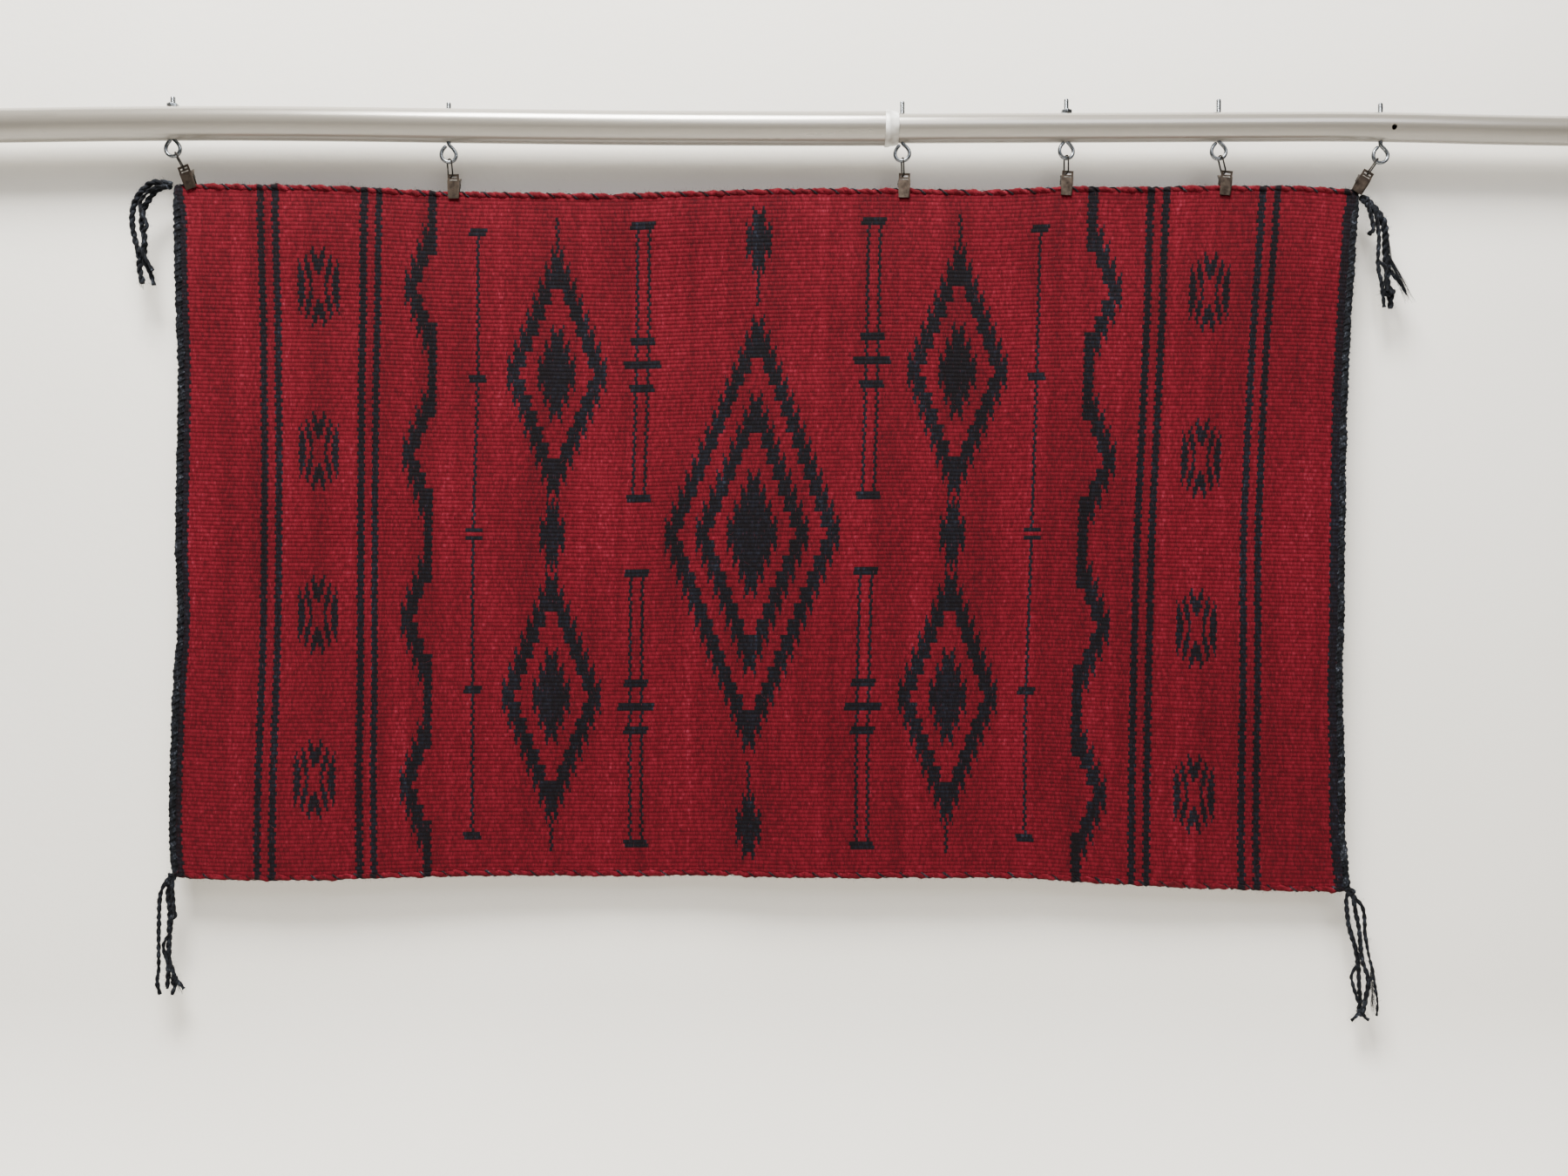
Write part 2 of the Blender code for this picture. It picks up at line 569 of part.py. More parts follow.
def sheet_grid():
    """Middle points of the web, row by row from the top, each row from left to right."""
    margin = 2 * SIDE_CORD_RADIUS + GAP
    nominal_top = table_value(TOP_LINE, 0.0) - margin
    nominal_height = nominal_top - table_value(BOTTOM_LINE, 0.0) - margin
    grid = []
    for depth in row_depths(nominal_height):
        z = nominal_top - depth
        inset = 2 * end_cord_radius(depth) + GAP
        left = table_value(LEFT_LINE, z) + inset
        right = table_value(RIGHT_LINE, z) - inset
        row = []
        for column in range(COLUMN_COUNT + 1):
            x = left + (right - left) * column / COLUMN_COUNT
            top = table_value(TOP_LINE, x) - margin
            bottom = table_value(BOTTOM_LINE, x) + margin
            if depth <= FULL_DEPTH:
                height = top - depth
            else:
                share = (depth - FULL_DEPTH) / (nominal_height - FULL_DEPTH)
                height = top - FULL_DEPTH - (top - FULL_DEPTH - bottom) * share
            row.append(Vector((x, fold_depth(x, height), height)))
        grid.append(row)
    return grid


def make_rug(grid, parts):
    points = [point * MM for row in grid for point in row]
    width = COLUMN_COUNT + 1
    faces = []
    for row in range(len(grid) - 1):
        for column in range(COLUMN_COUNT):
            corner = row * width + column
            faces.append((corner, corner + width, corner + width + 1, corner + 1))
    mesh = bpy.data.meshes.new("rug")
    mesh.from_pydata(points, [], faces)
    rug = add_object("rug", mesh, parts, "red_wool")
    rug.data.shade_smooth()
    solidify(rug, RUG_THICKNESS, 0.0)


def along(edge, step):
    """Split a chain of points into even steps, and keep the chain's own corners."""
    route = []
    for start, end in zip(edge, edge[1:]):
        count = max(1, round((end - start).length / step))
        route += [start.lerp(end, i / count) for i in range(count)]
    return [*route, edge[-1]]


def make_cord(name, edge, outward, radius_at, lump, material_name, parts):
    """A cord beside an edge of the web. Its four-sided section turns a quarter at each lump."""
    route = along(edge, lump / STEPS_A_LUMP)
    radii = [radius_at(point) for point in route]
    quarter = math.pi / 2
    travelled = 0.0
    tilts = [0.0]
    for start, end in zip(route, route[1:]):
        travelled += (end - start).length
        tilts.append(quarter * travelled / lump)
    places = [point + outward * (radius + GAP) for point, radius in zip(route, radii)]
    cord = wire(name, places, parts, radius=max(radii), radii=radii, tilts=tilts, resolution=0)
    cord.data.materials.append(finish(material_name))


def make_cords(grid, parts):
    """End cords along the left and right edges, side cords along the top and bottom edges."""
    for name, column, outward in (("left", 0, Vector((-1, 0, 0))), ("right", -1, Vector((1, 0, 0)))):
        edge = [row[column] for row in grid]
        corner_z = edge[0].z
        edge[0] = edge[0] + Vector((0.0, 0.0, 2 * SIDE_CORD_RADIUS - GAP))
        make_cord(f"end_cord_{name}", edge, outward,
                  lambda point, top=corner_z: end_cord_radius(top - point.z),
                  END_CORD_LUMP, "black_wool", parts)
    inset = Vector((SIDE_CORD_RADIUS / 2, 0.0, 0.0))
    for name, row, outward in (("top", 0, Vector((0, 0, 1))), ("bottom", -1, Vector((0, 0, -1)))):
        edge = [grid[row][0] + inset, *grid[row][1:-1], grid[row][-1] - inset]
        make_cord(f"side_cord_{name}", edge, outward, lambda point: SIDE_CORD_RADIUS,
                  SIDE_CORD_LUMP, "red_wool", parts)


def make_knot(name, centre, radii, cutters):
    mesh = bpy.data.meshes.new(name)
    work = bmesh.new()
    bmesh.ops.create_uvsphere(work, u_segments=KNOT_SEGMENTS, v_segments=KNOT_RINGS, radius=MM)
    for vertex in work.verts:
        vertex.co = Vector((vertex.co.x * radii[0], vertex.co.y * radii[1], vertex.co.z * radii[2]))
        vertex.co += centre * MM
    work.to_mesh(mesh)
    work.free()
    return add_object(name, mesh, cutters)


def make_tassel(corner, table, parts, cutters):
    """A head knot with its strands and further knots, joined into one solid."""
    head_x, head_z, strands, knots = table
    head = Vector((head_x, RUG_Y, head_z))
    base = make_knot(f"tassel_{corner}", head, (HEAD_RADIUS,) * 3, parts)
    base.data.materials.append(finish("black_wool"))
    pieces = []
    for number, (root, tip, back, route) in enumerate(strands, 1):
        points = [head + Vector((x, 0.0 if math.hypot(x, z) < ROOT_REACH else back, z)) for x, z in route]
        path = smooth_route(points, STRAND_STEP)
        radii = [root + (tip - root) * i / (len(path) - 1) for i in range(len(path))]
        name = f"{corner}_strand_{number}"
        strand = wire(name, path, cutters, radius=root, radii=radii, resolution=0)
        pieces.append(add_object(name, baked_mesh(strand, weld=1e-6), cutters))
    for number, (x, z, half_width, half_height) in enumerate(knots, 1):
        centre = head + Vector((x, 0.0, z))
        pieces.append(make_knot(f"{corner}_knot_{number}", centre,
                                (half_width, KNOT_DEPTH, half_height), cutters))
    for piece in pieces:
        boolean(base, "UNION", piece, solver="MANIFOLD")


def main():
    clear_scene()
    parts = new_collection("rug_on_rod")
    cutters = new_collection("cutters")
    make_rod(parts, cutters)
    make_collar(parts)
    nut_mesh = make_nut_mesh(cutters)
    clip_meshes = make_clip_meshes(cutters)
    for number, hanger in enumerate(HANGERS, 1):
        make_bolt(number, hanger, parts)
        make_link(number, hanger, parts)
        make_clip(number, hanger, clip_meshes, parts)
        if hanger.has_nut:
            make_nut(number, hanger, nut_mesh, parts)
    grid = sheet_grid()
    make_rug(grid, parts)
    make_cords(grid, parts)
    for corner, table in TASSELS.items():
        make_tassel(corner, table, parts, cutters)


main()
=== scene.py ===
import math
import random
from collections import namedtuple

import bmesh
import bpy
from mathutils import Matrix, Vector, noise


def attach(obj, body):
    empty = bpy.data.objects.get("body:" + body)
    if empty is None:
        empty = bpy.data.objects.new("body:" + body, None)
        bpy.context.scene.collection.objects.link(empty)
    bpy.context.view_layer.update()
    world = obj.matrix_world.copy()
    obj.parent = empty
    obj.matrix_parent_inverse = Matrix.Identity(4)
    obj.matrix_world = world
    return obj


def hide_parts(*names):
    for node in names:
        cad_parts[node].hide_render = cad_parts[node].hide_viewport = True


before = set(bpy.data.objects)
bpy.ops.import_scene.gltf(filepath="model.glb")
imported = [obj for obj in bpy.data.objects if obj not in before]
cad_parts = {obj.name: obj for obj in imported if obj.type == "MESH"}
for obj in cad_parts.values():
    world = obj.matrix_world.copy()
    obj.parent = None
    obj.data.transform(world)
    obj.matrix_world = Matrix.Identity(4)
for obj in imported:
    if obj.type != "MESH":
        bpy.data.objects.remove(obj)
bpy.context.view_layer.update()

bl_info = {
    "name": "Woven wool rug on a rod",
    "version": (1, 0, 0),
    "blender": (4, 5, 0),
    "location": "3D View > Sidebar > Rug",
    "description": "Builds the finish and fine detail of a hanging wool rug, its cords and its rod",
    "category": "Object",
}

MM = 0.001

# Outline of the rug with its cords. Columns: x, z.
TOP_LINE = (
    (-583.0, -54.6), (-490.0, -57.0), (-399.0, -59.3), (-298.0, -63.4), (-218.0, -65.2),
    (-114.0, -67.9), (-55.0, -66.1), (26.0, -62.9), (108.0, -61.1), (176.0, -60.6),
    (261.0, -62.7), (345.0, -58.6), (415.0, -58.4), (506.0, -57.7), (596.0, -58.8),
    (650.0, -62.6),
)
BOTTOM_LINE = (
    (-584.0, -776.5), (-521.0, -779.2), (-431.0, -779.2), (-340.0, -776.5), (-250.0, -775.6),
    (-114.0, -776.5), (-23.0, -775.6), (67.0, -777.4), (203.0, -777.4), (293.0, -777.9),
    (384.0, -783.7), (474.0, -788.8), (565.0, -792.3), (643.0, -793.7),
)
# Columns: z, x.
LEFT_LINE = (
    (-775.0, -584.0), (-725.0, -586.4), (-660.0, -585.5), (-580.0, -582.8), (-510.0, -578.8),
    (-435.0, -581.0), (-330.0, -578.8), (-245.0, -578.3), (-180.0, -580.5), (-58.0, -583.2),
)
RIGHT_LINE = (
    (-790.0, 643.0), (-725.0, 638.0), (-653.0, 636.2), (-580.0, 633.5), (-507.0, 634.9),
    (-400.0, 636.2), (-290.0, 638.0), (-218.0, 641.2), (-145.0, 645.3), (-66.0, 650.7),
)
# Soft folds of the sheet. Columns: x, z, reach along x, reach along z, how far it comes forward.
FOLDS = (
    (-62.0, -80.0, 150.0, 60.0, 7.0),
    (-432.0, -90.0, 80.0, 60.0, 4.0),
    (262.0, -92.0, 55.0, 45.0, 3.0),
    (425.0, -95.0, 55.0, 50.0, -3.0),
    (580.0, -110.0, 50.0, 60.0, 3.5),
    (-295.0, -330.0, 70.0, 190.0, -4.5),
    (120.0, -560.0, 210.0, 190.0, 5.0),
    (-440.0, -700.0, 130.0, 120.0, 6.0),
    (-110.0, -740.0, 110.0, 120.0, -4.0),
    (360.0, -420.0, 80.0, 260.0, -4.0),
    (560.0, -730.0, 120.0, 110.0, -6.0),
)
RUG_Y = 3.5
HELD_REACH = 42.0
SIDE_CORD_RADIUS = 2.7
# The side cords swell to this between their clips, and roll over the web's edge.
LOOSE_CORD_RADIUS = 3.5
END_CORD_RADIUS = 4.5
THIN_DEPTH = 8.0
FULL_DEPTH = 24.0
GAP = 0.3
# The web runs this far under the cords round it.
TUCK = 1.6
# The side cords run on by this much behind the end cords.
CORNER_REACH = 3.5

# Where upright lines of the design lie, since the weave leans and narrows. The place column is the
# line's place at mid height; the others are its x at five heights, from the bottom edge to the top.
Drift = namedtuple("Drift", "place bottom low middle high top")
DRIFTS = (
    Drift(-479.7, -486.0, -482.4, -479.7, -480.6, -483.3),
    Drift(-379.8, -379.2, -379.6, -379.8, -378.3, -374.2),
    Drift(-314.0, -319.0, -319.0, -319.5, -315.0, -314.0),
    Drift(363.4, 354.8, 356.1, 363.4, 369.2, 373.3),
    Drift(427.2, 420.4, 422.6, 427.2, 435.3, 442.5),
    Drift(537.1, 536.7, 536.7, 537.1, 544.8, 557.0),
)
WEB_LEFT = -571.3
WEB_RIGHT = 626.0
# The black bands along the web's left and right ends.
LEFT_BAND = 5.3
RIGHT_BAND = 7.5

# The small serrated star, half of it, a row for each rib from its middle outwards. Each pair is
# where black starts and ends, in millimetres from the star's upright middle line.
StarRow = namedtuple("StarRow", "heart ring wing")
STAR_ROWS = (
    StarRow((0.0, 0.0), (6.0, 8.6), (13.4, 20.4)),
    StarRow((0.0, 0.0), (6.0, 9.2), (13.4, 20.4)),
    StarRow((0.0, 0.0), (6.3, 10.8), (13.9, 20.4)),
    StarRow((0.0, 1.6), (6.8, 12.2), (14.4, 20.2)),
    StarRow((0.0, 3.8), (7.6, 13.2), (16.0, 20.0)),
    StarRow((0.0, 5.2), (8.6, 13.4), (17.6, 20.0)),
    StarRow((0.0, 5.7), (9.9, 13.4), (18.4, 19.8)),
    StarRow((1.0, 6.6), (10.9, 13.2), (0.0, 0.0)),
    StarRow((3.1, 7.0), (0.0, 0.0), (0.0, 0.0)),
    StarRow((4.3, 6.6), (0.0, 0.0), (0.0, 0.0)),
)
STAR_REACH = 22.0

# Rows of motifs up the rug. Rung is the rib of the lowest one's middle, and pitch is in ribs.
MotifColumn = namedtuple("MotifColumn", "place rung pitch")
LEFT_STARS = MotifColumn(-431.0, 24.3, 40.8)
RIGHT_STARS = MotifColumn(482.0, 21.6, 41.5)
LEFT_LOBES = MotifColumn(-310.6, 21.8, 41.9)
RIGHT_LOBES = MotifColumn(361.9, 20.8, 41.8)
MOTIFS_A_COLUMN = 4
# A zigzag is an upright band with a serrated lobe at each rung. Columns: its motifs, which way its
# lobes point, where its band starts and ends, the rib where it starts, how thick its lobes are.
Zigzag = namedtuple("Zigzag", "column way start end straight thick")
ZIGZAGS = (
    Zigzag(LEFT_LOBES, -1.0, -2.0, 6.6, 8.9, 2.2),
    Zigzag(RIGHT_LOBES, 1.0, -3.7, 6.6, 9.7, 2.0),
)
LOBE_BLOCKS = 4.0
STRIPE_PLACES = (-479.7, -379.8, 427.2, 537.1)
STRIPE_APART = 7.5
STRIPE_HALF = 3.5

# Serrated steps: each block is one step wide, and rises by a few ribs to the next.
STEP_WIDTH = 6.4
STEP_RISE = 3.9
STEP_SPIKE = 3.4
STEP_START = 1.9

# The middle field's design, a quarter of it, mirrored about both middle lines. Columns: place from
# the middle line, ribs from the middle rib, blocks across, how many blocks thick its edge is.
FIELD_MIDDLE = 22.0
Diamond = namedtuple("Diamond", "place rung blocks thick")
DIAMONDS = (
    Diamond(0.0, 0.0, 13, 2),
    Diamond(0.0, 0.0, 8, 2),
    Diamond(0.0, 0.0, 3, 5),
    Diamond(0.0, 74.0, 1, 3),
    Diamond(206.0, 41.0, 7, 2),
    Diamond(206.0, 41.0, 2, 4),
    Diamond(206.0, 0.0, 1, 3),
)
# Thin upright lines. Columns: place from the middle line, half width, from rib, to rib.
FieldLine = namedtuple("FieldLine", "place half_width start end")
FIELD_LINES = (
    FieldLine(0.0, 1.5, 57.0, 81.0),
    FieldLine(112.0, 1.5, 8.0, 80.0),
    FieldLine(124.0, 1.5, 8.0, 80.0),
    FieldLine(206.0, 1.5, 5.0, 10.0),
    FieldLine(206.0, 1.5, 71.0, 81.0),
    FieldLine(288.0, 1.5, 0.0, 78.0),
)
# Short bars across those lines. Columns: place, half width, from rib, to rib.
FIELD_BARS = (
    FieldLine(118.0, 12.5, 8.0, 11.0),
    FieldLine(118.0, 19.0, 42.0, 45.0),
    FieldLine(118.0, 12.5, 48.0, 51.0),
    FieldLine(118.0, 12.5, 36.0, 39.0),
    FieldLine(118.0, 12.5, 77.0, 80.0),
    FieldLine(288.0, 9.0, 0.0, 2.0),
    FieldLine(288.0, 9.0, 38.0, 41.0),
    FieldLine(288.0, 9.0, 75.0, 78.0),
)

# The rod's axis. Columns: x, z.
LEFT_AXIS = (
    (-800.0, 3.4), (-762.0, 3.4), (-650.0, 4.9), (-526.0, 5.6), (-400.0, 4.6), (-309.0, 3.3),
    (-200.0, 1.9), (-91.0, 0.8), (60.0, 0.2), (160.0, 0.2),
)
RIGHT_AXIS = (
    (60.0, 0.2), (165.0, 0.2), (290.0, 0.7), (415.0, 1.2), (560.0, 1.9), (633.0, 2.0),
    (705.0, 1.0), (777.0, -0.8), (867.0, -2.4), (905.0, -2.4),
)
LEFT_RADIUS = 16.9
RIGHT_RADIUS = 14.6
LEFT_WALL = 2.0
RIGHT_WALL = 1.7
DRILLED_HOLE = (678.0, -14.6, -3.3)
DRILLED_HOLE_RADIUS = 2.7
COLLAR_X = 156.5
COLLAR_Z = 0.2
# The collar's outside. Columns: distance along the rod, radius.
COLLAR_OUTLINE = ((0.0, 17.7), (0.5, 18.1), (4.3, 18.2), (5.0, 17.9), (5.6, 17.3), (9.0, 17.0),
                  (11.0, 16.6), (13.2, 16.1), (13.8, 15.8), (14.0, 15.4))
COLLAR_SEAT = 3.9
COLLAR_SIDES = 64
TUBE_STEP = 25.0
DRILL_SIDES = 32

# Where each eye bolt, link and clip sits. The eye turns about its bolt, a positive lean takes the
# clip's top to the left, the link takes the clip's slot off its middle and turns about its length.
Hanger = namedtuple("Hanger", "bolt_x eye_turn clip_x clip_z lean slot_side link_turn has_nut")
HANGERS = (
    Hanger(-581.2, 0.0, -566.6, -50.2, 21.0, 0.0, 27.0, True),
    Hanger(-295.4, 8.0, -290.5, -59.7, 1.0, -2.6, 52.0, False),
    Hanger(174.8, -8.0, 176.8, -58.6, -1.5, -1.5, 12.0, False),
    Hanger(344.9, 10.0, 345.6, -56.1, -4.0, -1.5, 23.0, True),
    Hanger(502.8, 0.0, 510.4, -56.0, -5.0, -2.8, 14.0, False),
    Hanger(670.5, 0.0, 652.4, -55.1, -30.0, 0.0, -26.0, False),
)
BOLT_LENGTH = 63.5
EYE_RADIUS = 7.5
EYE_WIRE_RADIUS = 1.9
EYE_START = 165.0
EYE_END = 385.0
EYE_STEPS = 20
# The eye's wire comes to a point over its ring: its free end, and its turn up into the stud.
# Columns: x, height over the eye's middle.
EYE_FREE_END = ((-2.3, 9.1), (-4.6, 7.0), (-6.3, 4.5))
EYE_NECK = ((5.5, 5.0), (3.8, 7.1), (1.6, 9.1), (0.3, 10.6))
EYE_BEND_STEP = 1.6
EYE_END_RADIUS = 1.4
# The stud starts at this height over the eye's middle, and its top is chamfered.
STUD_FOOT = 12.2
STUD_TOP = BOLT_LENGTH - EYE_RADIUS - EYE_WIRE_RADIUS
STUD_RADIUS = 2.2
CHAMFER_HEIGHT = 0.7
CHAMFER_DEPTH = 0.6
THREAD_LENGTH = 18.0
THREAD_RADIUS = 0.3
THREAD_STEPS = 14
LINK_REACH = 23.5
LINK_HALF_WIDTH = 3.6
LINK_WIRE_RADIUS = 0.8
LINK_STEPS = 10
CLIP_HALF_LENGTH = 12.5
SLOT_MIDDLE = 9.3
# A clip's spring, a leaf that stands behind its slots. Columns: how far back, height in the clip.
SPRING_ROUTE = ((1.3, 0.3), (1.3, 3.5), (1.5, 6.4), (2.6, 7.5), (4.7, 8.4), (5.1, 10.0),
                (5.2, 12.0))
SPRING_HALF_WIDTH = 3.7
SPRING_THICKNESS = 0.5
BOLT_SIDES = 20
LINK_SIDES = 12
LOCK_SIDES = 4
NUT_BEVEL = 0.4
CLIP_BEVEL = 0.22

# Tassels. Columns: head's x and z, strands, knots. A strand's columns: radius at its root and its
# end, how far it stands back, then its route from the head as x, z. A knot's: x, z, half width,
# half height.
TASSELS = {
    "top_left": (-588.0, -56.6, (
        (2.6, 2.6, -2.7, ((-1, 1), (-13.3, 1.4), (-23.4, -5), (-30.9, -15.2), (-35.5, -29),
                          (-35.5, -43.8), (-32.7, -57.6), (-29, -71.5))),
        (2.6, 2.6, 2.7, ((-1, -1), (-10.5, -3.2), (-17.9, -9.6), (-25.2, -20.7), (-28.5, -30.8),
                         (-28.5, -43.8), (-26.2, -54.8), (-27, -71.5))),
        (1.7, 1.7, -6.4, ((-1, -1), (-14, -7), (-25.6, -20.7), (-23.4, -32.6), (-18.4, -44.7),
                          (-22.5, -52.1), (-21.8, -62.4), (-23.4, -69.7), (-19.7, -78.7),
                          (-12.4, -90.9))),
        (2.7, 2.7, 1.0, ((-29, -71.5), (-30.3, -86.9), (-27.2, -102))),
        (1.9, 1.9, 0.0, ((-27, -71.5), (-24.3, -80.5), (-18.6, -91.8), (-14.7, -104.7))),
    ), ((-29.0, -71.5, 6.0, 6.3),)),
    "top_right": (655.2, -72.0, (
        (3.4, 2.6, 3.2, ((1, -1), (13.2, -10.7), (21.1, -21.4), (24.1, -35.2), (24.1, -49),
                         (26, -72.5), (25.5, -84.3), (29, -97), (29, -112.7))),
        (2.4, 1.0, 4.4, ((26, -70.5), (31.7, -76.5), (40.7, -86.4), (46.6, -98.2))),
        (1.7, 1.7, -2.2, ((0, -1), (2.6, -6), (5.9, -16.6), (8.9, -30.3), (7.2, -35))),
        (1.8, 1.8, -1.6, ((1, -1), (10.3, -12), (13.4, -26.4), (14.8, -41.2), (13.8, -64.7),
                          (14.8, -76.5), (18.1, -90), (20.1, -112.7))),
        (1.4, 1.4, -3.0, ((14, -64.7), (20.6, -71.5), (21.1, -80.4), (22.5, -95.1))),
    ), ((24.7, -96.8, 8.0, 4.2), (7.0, -35.0, 2.6, 2.4))),
    "bottom_left": (-583.6, -775.8, (
        (1.9, 1.7, -2.4, ((-1, -1), (-5.7, -5.4), (-11.6, -19), (-12.9, -46.2), (-13.1, -75.1),
                          (-13.1, -94.8), (-14.6, -109.5), (-11.6, -122.2))),
        (2.8, 2.0, 2.6, ((-1, -1), (-4.7, -7.2), (-5.2, -21.2), (-3.7, -36.8), (-4.3, -55.5),
                         (-5.7, -85.1), (-5.7, -99.6), (-6.8, -117.4))),
        (1.7, 1.7, -1.6, ((0.5, -1), (1.0, -6), (1.4, -21.2), (2.6, -34.8), (4.1, -40.7),
                          (-1.6, -45.7))),
        (1.5, 1.5, 0.8, ((-4.7, -61.4), (-9.6, -70.2), (-9.1, -80.1), (-5.2, -88.8))),
        (2.0, 1.8, 1.6, ((-5.4, -86.7), (0.2, -101.6), (2.2, -112.5), (-1.4, -123.1))),
        (1.6, 1.6, 0.6, ((0.6, -104), (3.6, -107.4), (12, -117.4))),
    ), ((1.6, -108.0, 3.6, 5.0),)),
    "bottom_right": (641.2, -792.1, (
        (2.0, 1.9, 2.7, ((-1, -1), (-3, -7.9), (-1.4, -30), (2.1, -45.3), (6.2, -59.4),
                         (9.1, -75.5), (10.1, -95.7), (11.1, -115.8), (10.1, -126.1))),
        (2.0, 1.9, -2.4, ((0, -1), (2.1, -8.9), (5, -25), (8.1, -41.2), (9.1, -55.2),
                          (11.1, -70.5), (16.2, -85.6), (17.2, -95.7), (14.2, -110.9),
                          (11.6, -125.5))),
        (1.9, 1.1, 0.6, ((1, -1), (5.4, -6.9), (12.6, -15.9), (14.9, -30), (15.3, -43.2),
                         (18.8, -63.4), (22.8, -80.5), (26.3, -100.7), (28.3, -115.8),
                         (27.3, -129.1))),
        (1.5, 1.5, 3.4, ((8.1, -77.6), (2.5, -87.6), (4.1, -97.7), (9.6, -115.8))),
        (1.2, 1.2, 1.1, ((9.6, -124.3), (6, -130), (1.1, -134))),
        (1.3, 1.3, -0.7, ((11.4, -123.6), (15, -130.6), (18.7, -132.6))),
    ), ((10.7, -125.2, 3.4, 4.1),)),
}
HEAD_KNOT = (0.0, 0.0, 4.8, 4.8)
# Locks of loose fibre where a yarn has come unspun. Columns: tassel, start, end, spread at its
# end, count. Places are x, z from the tassel's head.
Lock = namedtuple("Lock", "tassel start end spread count")
LOCKS = (
    Lock("top_right", (26.0, -56.0), (50.0, -108.0), 4.2, 90),
    Lock("top_right", (24.0, -24.0), (28.0, -84.0), 4.4, 70),
    Lock("bottom_right", (22.0, -84.0), (26.0, -132.0), 3.2, 34),
    Lock("bottom_left", (3.0, -110.0), (9.0, -124.0), 3.0, 12),
    Lock("top_left", (-30.0, -96.0), (-27.0, -110.0), 3.0, 14),
)
LOCK_SEED = 23
LOCK_STEPS = 6
# A lock's width where it leaves its yarn, its fibres' radius and that of their tips.
LOCK_ROOT = 0.7
LOCK_FIBRE_RADIUS = 0.11
LOCK_TIP_RADIUS = 0.05
KNOT_DEPTH = 3.6
KNOT_STEPS = 48
# A knot's yarn takes this share of the knot's smaller half size, and at most this radius.
KNOT_YARN_SHARE = 0.42
KNOT_YARN_RADIUS = 2.0
# A strand that starts within this reach of its head's middle starts in the rug's plane.
ROOT_REACH = 2.0
STRAND_STEP = 2.5
# The yarns' loose fibres stand this much proud of their plies.
YARN_SWELL = 1.22

# Shares of a cord's radius at its ends and one step further in, where it rounds off.
END_SHARES = (0.45, 0.8)
END_CORD_STEPS = 150
SIDE_CORD_STEPS = 240
# An end cord starts at this share of the web's height, and runs down by this many heights.
END_CORD_TOP = 1.004
END_CORD_RUN = 1.0105
# A clip holds the top side cord thin at this height in the clip, this far to either side.
GRIP_HEIGHT = -6.0
GRIP_REACH = 9.0
# The side cords' black ends run on by this much beyond the web.
BAND_RUN_ON = 20.0
# How yarns twist, in metres: the route's step, the length of a full turn, how uneven they are.
END_TWIST = {"Step": 0.0014, "Turn length": 0.0136, "Roughness": 0.0022}
SIDE_TWIST = {"Step": 0.0016, "Turn length": 0.0226, "Roughness": 0.0024}
TASSEL_TWIST = {"Step": 0.0013, "Turn length": 0.016, "Roughness": 0.0014}
# Loose fibres. Density is how many stand on a square metre, and sizes are in metres.
WEB_FUZZ = {"Density": 900.0, "Fibre length": 0.006, "Fibre radius": 0.00005, "Lean": 1.45,
            "Seed": 5}
END_FUZZ = {"Density": 55000.0, "Fibre length": 0.0036, "Fibre radius": 0.00005, "Lean": 1.3,
            "Seed": 7}
SIDE_FUZZ = {"Density": 75000.0, "Fibre length": 0.0042, "Fibre radius": 0.00005, "Lean": 1.3,
             "Seed": 11}
TASSEL_FUZZ = {"Density": 150000.0, "Fibre length": 0.0042, "Fibre radius": 0.00005, "Lean": 1.3,
               "Seed": 17}
PLY_SIDES = 9
FIBRE_SIDES = 3

# The camera looks along +Y, square to the rug, and takes in this width, in metres, at the rod's
# axis.
VIEW_WIDTH = 1.6255
VIEW_MIDDLE = (0.0522, -0.476)
VIEW_DISTANCE = 1.2
SENSOR_WIDTH = 36.0
# Where the wall's tone starts and ends its change to the floor's, along Y in metres.
FLOOR_FADE = (0.0, -1.6)

AMBIENT_COLOUR = "#E9E9E6"
AMBIENT_STRENGTH = 0.10

MATH = "ShaderNodeMath"
# The mix node's colour sockets share their names with others, so they go by number.
MIX_A = 6
MIX_B = 7
MIX_RESULT = 2
# Edges sharper than this stay sharp in smooth shading. Facets this flat are merged.
SHARP_EDGE = math.radians(40)
BEVELLED_EDGE = math.radians(35)
FLAT_FACET = 0.02
WELD_REACH = 0.00001
# Where deep, plain, bright and tip tones of the web's wool lie.
WOOL_TONES = (0.0, 0.42, 0.72, 1.0)


def linear(code):
    """Turn an sRGB hex colour into linear red, green, blue and a full alpha."""
    parts = [int(code[i:i + 2], 16) / 255 for i in (1, 3, 5)]
    return (*(c / 12.92 if c <= 0.04045 else ((c + 0.055) / 1.055) ** 2.4 for c in parts), 1.0)


def add(tree, kind, *values, named=None, out=0, stops=(), **settings):
    """Add a node with its settings and a ramp's colour stops, set or link its inputs, and return
    one of its outputs."""
    node = tree.nodes.new(kind)
    for name, value in settings.items():
        setattr(node, name, value)
    if stops:
        elements = node.color_ramp.elements
        for element, (position, colour) in zip(list(elements), (stops[0], stops[-1])):
            element.position, element.color = position, colour
        for position, colour in stops[1:-1]:
            elements.new(position).color = colour
    for key, value in (*enumerate(values), *(named or {}).items()):
        if isinstance(value, bpy.types.NodeSocket):
            tree.links.new(value, node.inputs[key])
        elif value is not None:
            node.inputs[key].default_value = value
    return node.outputs[out]


